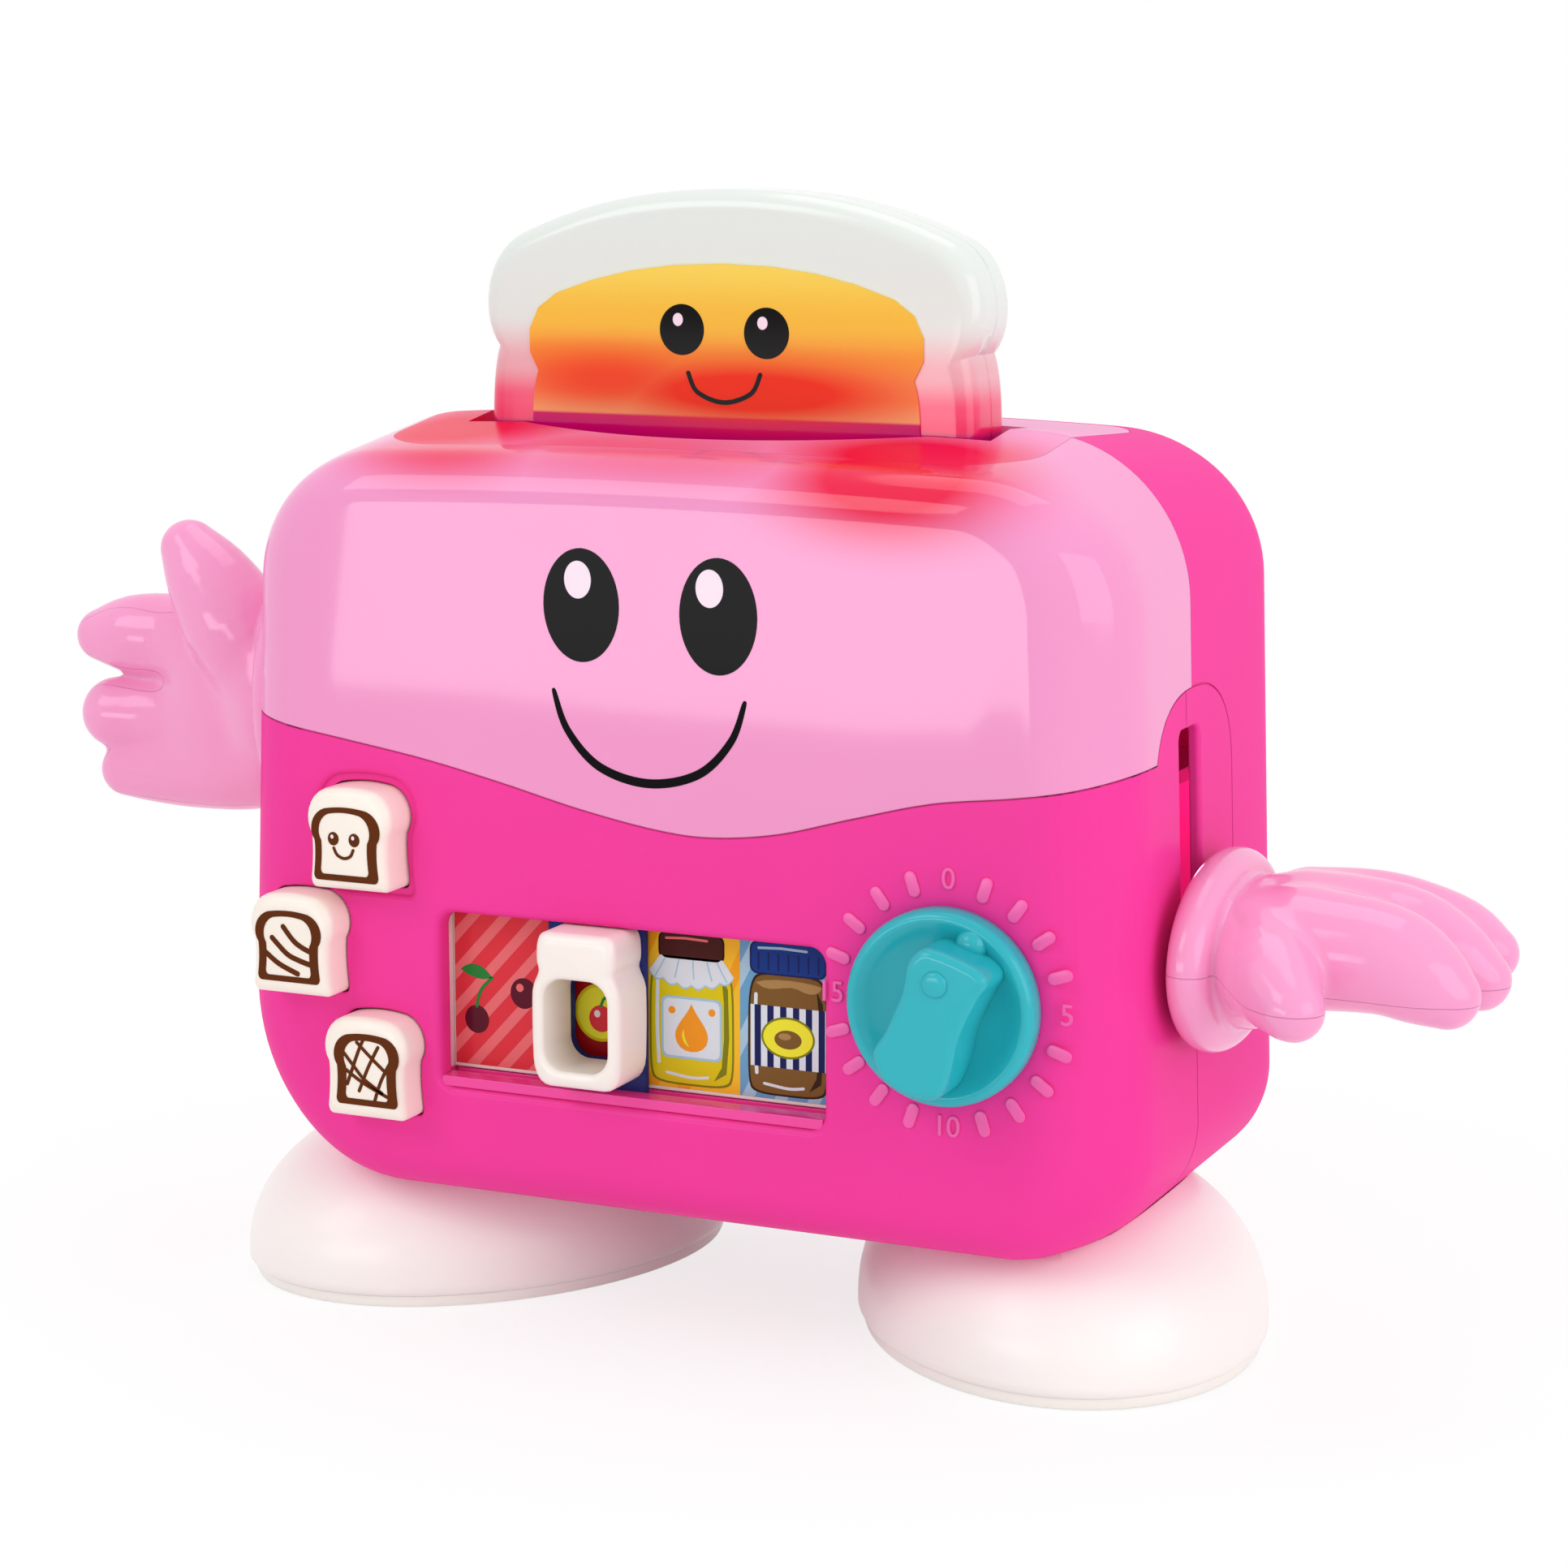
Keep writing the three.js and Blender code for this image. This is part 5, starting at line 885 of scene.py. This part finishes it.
def build_card():
    """Four small pictures behind the window, printed in layers; a higher lift lies on top."""
    done = {"prints": 0, "panel": None}

    def put(points, key, lift):
        points = clip_poly(points, *done["panel"])
        if len(points) > 2:
            done["prints"] += 1
            print_on(f"card_print_{done['prints']}", points, CARD_FACE, lift, key, "housing", "picture_card")

    def spot(x, z, a, b, key, lift, steps=48):
        put(ellipse(x, z, a, b, steps), key, lift)

    def line(points, width, key, lift, per=6):
        put(stroke(smooth_line(points, per), width), key, lift)

    def blob(points, key, lift, per=6):
        put(bezier(points, per)[:-1], key, lift)

    def panel(i, key, slant, width, spread, count, first):
        left, right = CARD_EDGES[i:i + 2]
        done["panel"] = (left, right, CARD_LOW, CARD_HIGH)
        put(quad(left, right, CARD_LOW, CARD_HIGH), key, 0.03)
        for k in range(count):
            x = left + first + k * 8.2
            put([(x, CARD_LOW), (x + width, CARD_LOW), (x + width + spread, CARD_HIGH), (x + spread, CARD_HIGH)],
                slant, 0.05)

    def jar(x, w, top, glass, dark, shine):
        put(jar_shape(x, w, JAR_FOOT, top, 0.45), dark, 0.07)
        put(jar_shape(x, w, JAR_FOOT, top), glass, 0.08)
        put([(x + w * 0.55, 65.6), (x + w * 0.86, 67.6), (x + w * 0.93, 76), (x + w * 0.9, top - 6),
             (x + w * 0.74, top - 3), (x + w * 0.8, top - 9), (x + w * 0.8, 76), (x + w * 0.74, 69)], dark, 0.085)
        line([(x - w * 0.82, 69), (x - w * 0.86, 78), (x - w * 0.84, top - 5)], 0.9, shine, 0.09, 5)
        line([(x - w * 0.62, 66.6), (x, 65.9), (x + w * 0.4, 66.3)], 0.7, shine, 0.09, 5)

    def plate(x0, x1, z0, z1, corner, rim, key, rim_key, lift):
        put(rounded_rect(x0 - rim, x1 + rim, z0 - rim, z1 + rim, corner[0], 6), rim_key, lift)
        put(rounded_rect(x0, x1, z0, z1, corner[1], 6), key, lift + 0.01)

    def lid(x, w, low, high, key, dark, shine):
        plate(x - w, x + w, low, high, (2.0, 1.8), 0.4, key, dark, 0.1)
        put(stroke([(x - w * 0.8, high - 1.3), (x - w * 0.2, high - 1.0), (x + w * 0.5, high - 1.2)], 0.6), shine, 0.12)

    panel(0, "card_red", "card_pale", 3.4, 36, 7, -30)
    spot(-37.6, 81.6, 3.5, 3.7, "plum", 0.08)
    spot(-38.6, 82.9, 1.0, 1.0, "card_pale", 0.09, 16)
    spot(-50.2, 74.2, 3.2, 3.4, "plum", 0.08)
    line([(-50.2, 77.4), (-49.0, 81.4), (-46.0, 84.6)], 0.8, "leaf", 0.09)
    blob([(-46, 84.6), (-48.6, 88.4), (-52.4, 88.2), (-54.4, 86.0), (-51.6, 84.0), (-48.6, 83.6), (-46, 84.6)],
         "leaf", 0.09)

    panel(1, "card_navy", "lid_blue", 3.0, 20, 4, -18)
    jar(-18.5, 9.4, 93.0, "jam", "jam_dark", "card_pale")
    lid(-18.5, 8.4, 92.6, 99.4, "lid_blue", "stripe_navy", "pale_blue")
    spot(-17.4, 79.0, 6.6, 6.9, "honey", 0.12)
    spot(-17.4, 79.0, 5.9, 6.2, "lemon", 0.13)
    spot(-17.2, 77.6, 3.1, 3.2, "card_red", 0.14)
    spot(-18.2, 78.7, 0.8, 0.9, "light", 0.15, 16)
    line([(-17.2, 80.6), (-16.4, 82.4), (-14.8, 83.2)], 0.7, "leaf", 0.15)

    panel(2, "card_yellow", "card_amber", 3.2, 18, 4, -16)
    jar(6.2, 10.3, 93.6, "honey", "honey_dark", "label")
    frill = []
    for i in range(37):
        t = i / 36
        frill.append((6.2 - 10.8 + 21.6 * t, 88.0 + 2.6 * (2 * t - 1) ** 2 - 0.9 * abs(math.sin(t * math.pi * 6))))
    frill += [(14.2, 94.4), (-1.8, 94.4)]
    put([(x, z - 0.4) for x, z in frill], "pale_blue", 0.1)
    put(frill, "label", 0.11)
    for x0, x1 in ((-0.6, -3.0), (3.0, 2.0), (6.6, 6.8), (10.2, 11.4), (12.8, 15.2)):
        put(stroke([(x0, 93.6), ((x0 + x1) / 2, 91.4), (x1, 89.4)], 0.35), "pale_blue", 0.12)
    lid(6.2, 8.0, 93.8, 99.8, "lid_dark", "lid_deep", "card_pale")
    plate(-1.0, 13.4, 70.8, 84.4, (1.8, 1.5), 0.6, "label", "pale_blue", 0.12)
    blob([(6.2, 83.4), (7.6, 80.2), (10.4, 78.2), (10.4, 75.6), (10.4, 70.8), (2.0, 70.8), (2.0, 75.6), (2.0, 78.2),
          (4.8, 80.2), (6.2, 83.4)], "orange", 0.14, 8)
    blob([(4.2, 77.4), (3.2, 75.4), (4.2, 73.6), (5.6, 73.2), (4.6, 74.4), (4.2, 75.6), (4.2, 77.4)], "lemon", 0.15)
    spot(1.2, 81.6, 0.9, 0.9, "orange", 0.14, 16)
    spot(11.4, 81.8, 0.9, 0.9, "orange", 0.14, 16)

    panel(3, "card_blue", "pale_blue", 3.2, 20, 5, -16)
    jar(30.6, 9.6, 92.4, "spread", "spread_dark", "label")
    blob([(22.4, 90.2), (26, 87.2), (30, 90.6), (33, 89.4), (36, 88.0), (38.6, 88.4), (39.0, 90.4), (36, 91.4),
          (26, 91.8), (22.4, 90.2)], "spread_pale", 0.1)
    lid(30.6, 9.2, 92.6, 99.6, "lid_blue", "stripe_navy", "pale_blue")
    for k in range(7):
        x = 23.2 + k * 2.5
        put(stroke([(x, 93.4), (x, 95.2), (x, 97.2)], 0.4), "stripe_navy", 0.12)
    put(quad(21.2, 40.0, 70.6, 85.0), "label", 0.11)
    for k in range(6):
        put(quad(22.2 + k * 3.2, 23.8 + k * 3.2, 70.6, 85.0), "stripe_navy", 0.12)
    spot(30.6, 77.8, 6.7, 4.9, "honey_dark", 0.13)
    spot(30.6, 77.8, 6.2, 4.4, "lemon", 0.14)
    spot(30.6, 77.4, 3.4, 2.2, "spread", 0.15)
    spot(29.8, 78.1, 1.6, 0.8, "spread_pale", 0.16, 20)


# Dial

# The grip's outline round the dial's centre
GRIP = [(-1.2, 14.8), (-3.3, 11.9), (-4.0, 8.2), (-4.9, 4.5), (-6.5, 0.8), (-8.4, -3.5), (-10.6, -6.9),
        (-11.3, -9.3), (-10.3, -12.3), (-7.9, -15.3), (-3.1, -17.5), (1.7, -18.1), (4.4, -17.0), (6.1, -13.8),
        (7.3, -9.6), (8.2, -5.0), (9.6, -1.2), (11.4, 2.6), (13.2, 5.9), (14.9, 8.3), (15.0, 10.4), (12.9, 12.4),
        (9.0, 14.0), (4.9, 15.3), (1.2, 15.9)]


def grip_outline():
    return [(DIAL_X + x, DIAL_Z + z) for x, z in curve([GRIP[-1], *GRIP, *GRIP[:2]], 4)]


def build_dial():
    back, rim, front, r, w = -FRONT - 0.5, -FRONT - 6.6, -FRONT - 17, DIAL_R, 4.2
    profile = [(0, back), (r - 0.7, back), (r, back - 0.7), (r, rim + w * 0.8)]
    profile += [(r - w / 2 + w / 2 * math.cos(a), rim + w * 0.62 - w * 0.62 * math.sin(a))
                for a in np.linspace(0.25, math.pi * 0.62, 12)]
    profile += [(r - w * 1.15, rim + w * 0.34), (r - w * 1.6, rim + w * 0.6), (r - w * 2.2, rim + w * 0.78),
                (r - w * 2.9, rim + 3.6), (0, rim + 3.6)]
    disc = turned("dial_moulding", "y", profile, (DIAL_X, 0, DIAL_Z), 128)
    grip = prism("grip", grip_outline(), "xz", front, rim + 4.4)
    mod = grip.modifiers.new("round", "BEVEL")
    mod.width = 0.0024
    mod.segments = 8
    mod.limit_method = "WEIGHT"
    weights = grip.data.attributes.new("bevel_weight_edge", "FLOAT", "EDGE")
    limit = (front - SEAM_TO_ORIGIN) * 0.001 + 1e-5
    for edge in grip.data.edges:
        weights.data[edge.index].value = float(max(grip.data.vertices[i].co.y for i in edge.vertices) < limit)
    apply_modifiers(grip)
    join(disc, grip)
    finish_piece(disc, "dial", mats["teal"], "dial", "dial", angle=45)
    dot = [(0, 0), (3.0, 0), (2.85, -0.45), (2.4, -0.78), (1.5, -0.98), (0, -1.04)]
    nub = [(0, 0), (3.9, 0), (3.8, -1.6), (3.4, -3.0), (2.6, -4.2), (1.4, -4.9), (0, -5.1)]
    for name, profile, x, y, z in (("dial_dot", dot, 3.6, front + 0.06, 8.3), ("dial_nub", nub, 7.6, rim + 3.4, 15.2)):
        peg = turned(name, "y", profile, (DIAL_X + x, y, DIAL_Z + z), 48)
        finish_piece(peg, "dial", mats["teal"], "dial", angle=60)


def build_scale():
    """Raised ticks and numbers round the dial, on the front shell."""
    for i in range(20):
        a = math.radians(90 - 18 * i)
        c, s = math.cos(a), math.sin(a)
        if i % 5:
            points = [(DIAL_X + r * c, DIAL_Z + r * s) for r in (26.0, 27.1, 28.2, 29.3)]
            tick = prism(f"dial_tick_{i}", stroke(points, 2.8), "xz", -FRONT - 0.5, -FRONT - 0.01)
            round_edges(tick, 0.4, 3, 50)
            finish_piece(tick, "housing", mats["tick"], "front_lower_shell", angle=50)
            continue
        data = bpy.data.curves.new(f"dial_number_{i}", "FONT")
        data.body = str(i)
        data.size = 0.0068
        data.extrude = 0.00016
        data.bevel_depth = 0.00006
        data.align_x = data.align_y = "CENTER"
        data.space_character = 0.95
        text = in_scene(f"dial_number_{i}", data)
        bpy.context.view_layer.update()
        mesh = bpy.data.meshes.new_from_object(text.evaluated_get(bpy.context.evaluated_depsgraph_get()))
        remove(text)
        place = to_row((DIAL_X + 28.0 * c, -FRONT - 0.22, DIAL_Z + 28.0 * s))[0]
        mesh.transform(Matrix.Translation(place) @ Matrix.Rotation(math.pi / 2, 4, "X"))
        finish_piece(in_scene(f"dial_number_{i}", mesh), "housing", mats["tick"], "front_lower_shell", angle=40)


# Feet

FOOT_LONG, FOOT_WIDE, FOOT_LOW, FOOT_TOP, FOOT_RIM, FOOT_POWER = 66, 48.6, 3, 43, 3, 2.15
FOOT_X, FOOT_Y, FOOT_TURN = 77.2, 14.2, math.radians(28.3)


def oval(z, share):
    """A level cut through a foot, as a share of its full size."""
    return [(FOOT_WIDE * share * math.cos(t), FOOT_LONG * share * math.sin(t), z)
            for t in np.linspace(0, 2 * math.pi, 96, endpoint=False)]


def dome_rings():
    rings = [oval(FOOT_LOW + FOOT_RIM * up, share) for up, share in ((0, 0.975), (0.2, 0.99), (0.5, 1.0))]
    start = FOOT_LOW + FOOT_RIM
    for i in range(24):
        up = math.sin(i / 24 * math.pi / 2)
        rings.append(oval(start + (FOOT_TOP - start) * up, (1 - up ** FOOT_POWER) ** (1 / FOOT_POWER)))
    return rings + [oval(FOOT_TOP, 0.05)]


def placed(rings, side):
    c, s = math.cos(side * FOOT_TURN), math.sin(side * FOOT_TURN)
    return [[(side * FOOT_X + x * c - y * s, FOOT_Y + x * s + y * c, z) for x, y, z in ring] for ring in rings]


def build_feet():
    clear = housing("clear", -0.3)
    sole_rings = [oval(z, share) for z, share in ((0, 0.94), (0.3, 0.965), (1.2, 0.972), (2.95, 0.972))]
    for name, side in (("left", -1), ("right", 1)):
        dome = cut(loft(name + "_foot_moulding", placed(dome_rings(), side)), clear, keep=True)
        finish_piece(dome, "housing", mats["white"], name + "_foot", name + "_foot")
        sole = loft(name + "_sole_moulding", placed(sole_rings, side))
        finish_piece(sole, "housing", mats["sole"], name + "_sole", name + "_sole")
    remove(clear)


# Hands: x outwards, y towards the thumb, z towards the back of the hand

# Each digit is a chain of balls: centre and radius
RIGHT_DIGITS = [
    [(141.4, 8, 4, 13.9), (159.2, 10, 3.6, 12.5), (168.1, 11, 0.7, 10.7), (175, 11.5, -3.2, 7.4)],
    [(138.8, -5, 4.9, 13.5), (157.7, -7, 4.9, 12.2), (168.7, -8, 1.4, 10.3), (177.3, -8.5, -3.5, 7.1)],
    [(136.2, -16, 6.2, 11), (147.8, -20, 6.5, 10.5), (156.8, -22, 4.5, 11), (167.9, -22.5, 1.9, 10),
     (175.9, -23.5, -0.8, 6.6)],
    [(130.8, 12, 2.6, 12.4), (137.9, 23, 0.4, 11), (145, 32, -3.4, 7.9), (147, 34, -4.5, 6.8)],
]
LEFT_DIGITS = [
    [(148.1, 9.2, 3, 13.1), (162.6, 11, 4, 11.5), (173.6, 11.7, 2, 10.2), (182.6, 11.4, 0, 6.8)],
    [(143.6, -6.7, 4, 13.8), (156.7, -9, 4, 11.8), (169.2, -9, 3, 10.5), (179, -8.6, 0, 9.1)],
    [(133.7, -17.6, 2, 12.7), (145.9, -19.9, 2, 11.9), (158.2, -21.8, 2, 10.3), (168.3, -22.8, 1, 8.5),
     (176, -23.1, 0, 7.1)],
    [(132.3, 8.1, -3, 13.6), (138.2, 17.9, -7, 13.2), (144.4, 27.9, -8, 10.9), (150.4, 36, -8, 7.3)],
]
PALM = ((143, -5, 3), (22, 25, 14))
WRIST = ((128, 1, 0), (14, 24, 17))
CUFF_START, CUFF_THICK, CUFF_LONG, CUFF_HIGH = 116.2, 9.6, 33.0, 23.0


def cone_distance(p, a, b):
    """How far points lie from the skin over two balls and all between them."""
    a, b = np.array(a, float), np.array(b, float)
    axis = b[:3] - a[:3]
    length2 = axis @ axis
    shrink = a[3] - b[3]
    slant2 = length2 - shrink * shrink
    q = p - a[:3]
    y = q @ axis
    z = y - length2
    side = q * length2 - axis * y[:, None]
    x2 = np.einsum("ij,ij->i", side, side)
    y2, z2 = y * y * length2, z * z * length2
    k = np.sign(shrink) * shrink * shrink * x2
    far = np.sqrt(x2 + z2) / length2 - b[3]
    near = np.sqrt(x2 + y2) / length2 - a[3]
    middle = (np.sqrt(x2 * slant2 / length2) + y * shrink) / length2 - a[3]
    return np.where(np.sign(z) * slant2 * z2 > k, far, np.where(np.sign(y) * slant2 * y2 < k, near, middle))


def finer(chain):
    """More balls along a digit, on a smooth curve through the given ones."""
    p = [np.array(ball, float) for ball in chain]
    return curve([2 * p[0] - p[1], *p, 2 * p[-1] - p[-2]], 4) + [p[-1]]


def oval_distance(p, centre, radii):
    q = p - np.array(centre, float)
    r = np.array(radii, float)
    k0 = np.linalg.norm(q / r, axis=1)
    k1 = np.linalg.norm(q / (r * r), axis=1) + 1e-9
    return k0 * (k0 - 1) / k1


def cuff_distance(p):
    r = CUFF_THICK / 2 - 0.2
    half = np.array([CUFF_LONG - r, CUFF_HIGH - r])
    q = p[:, 1:3]
    k0 = np.linalg.norm(q / half, axis=1)
    k1 = np.linalg.norm(q / (half * half), axis=1) + 1e-9
    flat = k0 * (k0 - 1) / k1
    deep = np.abs(p[:, 0] - CUFF_START - CUFF_THICK / 2) - 0.2
    out = np.hypot(np.maximum(flat, 0), np.maximum(deep, 0))
    return out + np.minimum(np.maximum(flat, deep), 0) - r


def soft_least(a, b, k):
    h = np.maximum(k - np.abs(a - b), 0) / k
    return np.minimum(a, b) - h * h * k * 0.25


def hand_field(digits):
    """The hand's skin as a distance: digits that flow into a palm, a wrist and a rounded cuff."""
    chains = [finer(chain) for chain in digits]

    def distance(p):
        total = oval_distance(p, *PALM)
        total = soft_least(total, oval_distance(p, *WRIST), 6.0)
        for chain in chains:
            digit = cone_distance(p, chain[0], chain[1])
            for a, b in zip(chain[1:], chain[2:]):
                digit = np.minimum(digit, cone_distance(p, a, b))
            total = soft_least(total, digit, 3.0)
        return soft_least(total, cuff_distance(p), 1.8)
    return distance


def slopes(field, p, step=0.05):
    out = np.empty_like(p)
    for axis in range(3):
        move = np.zeros(3)
        move[axis] = step
        out[:, axis] = (field(p + move) - field(p - move)) / (2 * step)
    return out


def skin_mesh(name, field, low, high, cell=1.0):
    """A mesh of quads over the zero level of a field, each corner drawn onto that level."""
    axes = [np.arange(low[i], high[i] + cell, cell) for i in range(3)]
    grid = np.stack(np.meshgrid(*axes, indexing="ij"), -1)
    shape = grid.shape[:3]
    values = field(grid.reshape(-1, 3)).reshape(shape)
    inside = values < 0
    count = sum(inside[i:shape[0] - 1 + i, j:shape[1] - 1 + j, k:shape[2] - 1 + k].astype(int)
                for i in (0, 1) for j in (0, 1) for k in (0, 1))
    active = (count > 0) & (count < 8)
    index = np.full(active.shape, -1)
    index[active] = np.arange(active.sum())
    verts = grid[:-1, :-1, :-1][active] + cell / 2
    for _ in range(6):
        slope = slopes(field, verts)
        size = np.einsum("ij,ij->i", slope, slope) + 1e-9
        move = slope * (field(verts) / size)[:, None]
        length = np.linalg.norm(move, axis=1)
        verts = verts - move * np.minimum(1, 0.7 * cell / np.maximum(length, 1e-9))[:, None]
    faces = []
    for axis in range(3):
        a = np.take(inside, range(shape[axis] - 1), axis)
        b = np.take(inside, range(1, shape[axis]), axis)
        others = [i for i in range(3) if i != axis]
        for i, j, k in np.argwhere(a != b):
            at = [i, j, k]
            if min(at[others[0]], at[others[1]]) < 1:
                continue
            ring = []
            for du, dv in ((-1, -1), (0, -1), (0, 0), (-1, 0)):
                place = list(at)
                place[others[0]] += du
                place[others[1]] += dv
                ring.append(int(index[tuple(place)]))
            if a[i, j, k] == (axis == 1):
                ring.reverse()
            faces.append(ring)
    data = bpy.data.meshes.new(name)
    data.from_pydata([tuple(v) for v in verts * 0.001], [], faces)
    return in_scene(name, data)


def true_normals(obj, field, place, reach=0.25):
    """Gives the skin its exact normals, so that cuts leave no marks on its shading."""
    data = obj.data
    co = np.empty(len(data.vertices) * 3)
    data.vertices.foreach_get("co", co)
    back = np.array(place.inverted())
    turn = np.array(place.to_3x3())
    points = (co.reshape(-1, 3) @ back[:3, :3].T + back[:3, 3]) * 1000
    slope = slopes(field, points)
    slope /= np.linalg.norm(slope, axis=1)[:, None] + 1e-9
    slope = slope @ turn.T
    near = np.abs(field(points)) < reach
    normals = np.array([tuple(n.vector) for n in data.corner_normals])
    faces = np.array([tuple(p.normal) for p in data.polygons])
    sizes = np.array([p.loop_total for p in data.polygons])
    corner = np.empty(len(data.loops), int)
    data.loops.foreach_get("vertex_index", corner)
    own = np.repeat(faces, sizes, axis=0)
    fits = near[corner] & (np.einsum("ij,ij->i", own, slope[corner]) > 0.4)
    normals[fits] = slope[corner][fits]
    data.normals_split_custom_set([tuple(n) for n in normals])


def parting(step, low=-230):
    line = [(108, step), (126, step)]
    line += [(126 + 12 * t, step - 4.5 * (0.5 - 0.5 * math.cos(math.pi * t))) for t in np.linspace(0.1, 1, 10)]
    return line + [(210, step - 4.5), (210, low), (108, low)]


def build_hand(digits, cavity, place, body, palm_name, back_name):
    """A hollow hand in two halves that part along its middle."""
    field = hand_field(digits)
    skin = skin_mesh("skin", field, (112, -40, -32), (192, 46, 32))
    keep_inside(skin, block("c", CUFF_START, 230, -90, 90, -90, 90))
    cut(skin, cavity)
    palm = keep_inside(copy_of(skin, "palm"), prism("below", parting(-0.03), "xz", -230, 230))
    back = cut(skin, prism("above", parting(0.02), "xz", -230, 230))
    for obj, name in ((palm, palm_name), (back, back_name)):
        obj.data.transform(place)
        if place.determinant() < 0:
            obj.data.flip_normals()
        obj.name = name + "_moulding"
        finish_piece(obj, body, mats["hand"], name, name, angle=50)
        true_normals(obj, field, place)


def build_hands():
    cavity = block("cavity", 108, 140.3, -4.3 + SEAM_TO_ORIGIN, 4.3 + SEAM_TO_ORIGIN, -7.3, 7.3)
    place = Matrix.Translation((0, -SEAM_TO_ORIGIN * 0.001, LEVER_Z * 0.001)) @ Matrix.Scale(-1, 4, (0, 1, 0))
    build_hand(RIGHT_DIGITS, cavity, place, "lever", "right_hand_lower", "right_hand_upper")
    cavity = cylinder("cavity", "x", 7.8, 108, 137.3, (0, SEAM_TO_ORIGIN, 0))
    place = Matrix(((-1, 0, 0, 0.001), (0, 0, 1, -SEAM_TO_ORIGIN * 0.001), (0, 1, 0, ARM_Z * 0.001), (0, 0, 0, 1)))
    build_hand(LEFT_DIGITS, cavity, place, "left_arm", "left_hand_palm", "left_hand_back")


# CAD nodes that stay as they are get a fitting material

KEPT = {
    "slot_well": "well", "slider_tray": "tray", "picture_card": "ring",
    "jar_slider_clip": "card_navy", "dial_shaft": "teal", "timer_unit": "inner", "button_keypad": "rubber",
    "switch_board": "board", "main_board": "board", "speaker": "dark", "left_led": "led", "right_led": "led",
    "battery_box": "magenta", "battery_1": "cell", "battery_2": "cell", "battery_3": "cell",
    "battery_door": "magenta", "door_screw": "steel", "housing_screw_1": "steel", "housing_screw_2": "steel",
    "housing_screw_3": "steel", "housing_screw_4": "steel", "lever_bracket": "inner", "guide_rod_1": "steel",
    "guide_rod_2": "steel", "lever_carriage": "inner", "toast_tray": "inner", "hold_magnet": "magnet",
    "left_arm_hub": "inner", "toast_sticker": "sticker", "power_knob": "cream", "power_switch": "dark",
}


def dress_kept():
    for name, key in KEPT.items():
        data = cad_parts[name].data
        data.materials.clear()
        data.materials.append(mats[key])
        shade(data, 30)


# Stage

def shown_rays(tree):
    """1 where the background is seen straight, in gloss or through something clear."""
    path = wire(tree, "LightPath", "Is Camera Ray")
    rays = path
    for other in ("Is Glossy Ray", "Is Transmission Ray"):
        rays = wire(tree, "Math", "Value", {0: rays, 1: path.node.outputs[other]}, operation="MAXIMUM")
    return rays


def build_stage():
    """A pale floor that keeps the object's shadow and fades into the white world."""
    half, lit, seen, lift = 6.0, 0.93, 0.26, 0.76
    floor = in_scene("floor", bpy.data.meshes.new("floor"))
    floor.data.from_pydata([(x, y, 0) for x, y in quad(-half, half, -half, half)], [], [(0, 1, 2, 3)])
    mat, tree, bsdf = new_material("pale_floor")
    shown = shown_rays(tree)
    grey = wire(tree, "Mix", "Result", {"Factor": shown, "A": (lit, lit, lit, 1), "B": (seen, seen, seen, 1)},
                data_type="RGBA")
    feed(tree, bsdf, {"Roughness": 0.7, "Specular IOR Level": 0.0, "Base Color": grey,
                      "Emission Color": (1, 1, 1, 1),
                      "Emission Strength": wire(tree, "Math", "Value", {0: shown, 1: lift}, operation="MULTIPLY")})
    reach = wire(tree, "VectorMath", "Value", {0: wire(tree, "TexCoord", "Object")}, operation="LENGTH")
    far = wire(tree, "MapRange", "Result", {"Value": reach, "From Min": 0.2, "From Max": 0.34},
               interpolation_type="SMOOTHSTEP")
    share = wire(tree, "Math", "Value", {0: far, 1: shown}, operation="MULTIPLY")
    white = wire(tree, "Emission", "Emission", {"Strength": 1.0})
    mix = wire(tree, "MixShader", "Shader", {"Fac": share, 1: bsdf.outputs["BSDF"], 2: white})
    feed(tree, tree.nodes["Material Output"], {"Surface": mix})
    floor.data.materials.append(mat)

    world = bpy.data.worlds.new("studio")
    bpy.context.scene.world = world
    world.use_nodes = True
    tree = world.node_tree
    strength = wire(tree, "Math", "Value", {0: shown_rays(tree), 1: 0.3, 2: 0.7}, operation="MULTIPLY_ADD")
    feed(tree, tree.nodes["Background"], {"Color": (1, 1, 1, 1), "Strength": strength})


def area_light(name, place, target, width, height, power):
    data = bpy.data.lights.new(name, "AREA")
    data.shape = "RECTANGLE"
    data.size = width
    data.size_y = height
    data.energy = power
    obj = in_scene(name, data)
    obj.location = place
    obj.rotation_euler = (Vector(target) - Vector(place)).to_track_quat("-Z", "Y").to_euler()
    return obj


def build_lights():
    area_light("key", (-0.9, -1.3, 1.3), (0, 0, 0.12), 0.9, 0.9, 6.5)
    area_light("fill", (1.5, -0.5, 0.6), (0, 0, 0.12), 1.2, 1.1, 7)
    area_light("top", (0.0, 0.3, 1.6), (0, 0, 0.1), 1.0, 1.0, 4.5)
    softbox = area_light("softbox", (-0.21, -0.6, 0.135), (-0.21, 0, 0.135), 0.43, 0.132, 0.6)
    softbox.visible_diffuse = False
    data = bpy.data.lights.new("inner_glow", "POINT")
    data.energy = 0.03
    data.color = (1.0, 0.3, 0.6)
    data.shadow_soft_size = 0.008
    in_scene("inner_glow", data).location = (0.088, 0.04, 0.125)


make_camera()
build_housing()
build_toast()
build_feet()
build_hands()
build_face()
build_buttons()
build_slider()
build_card()
build_dial()
build_scale()
dress_kept()
build_stage()
build_lights()

bpy.context.scene.view_settings.view_transform = "Standard"
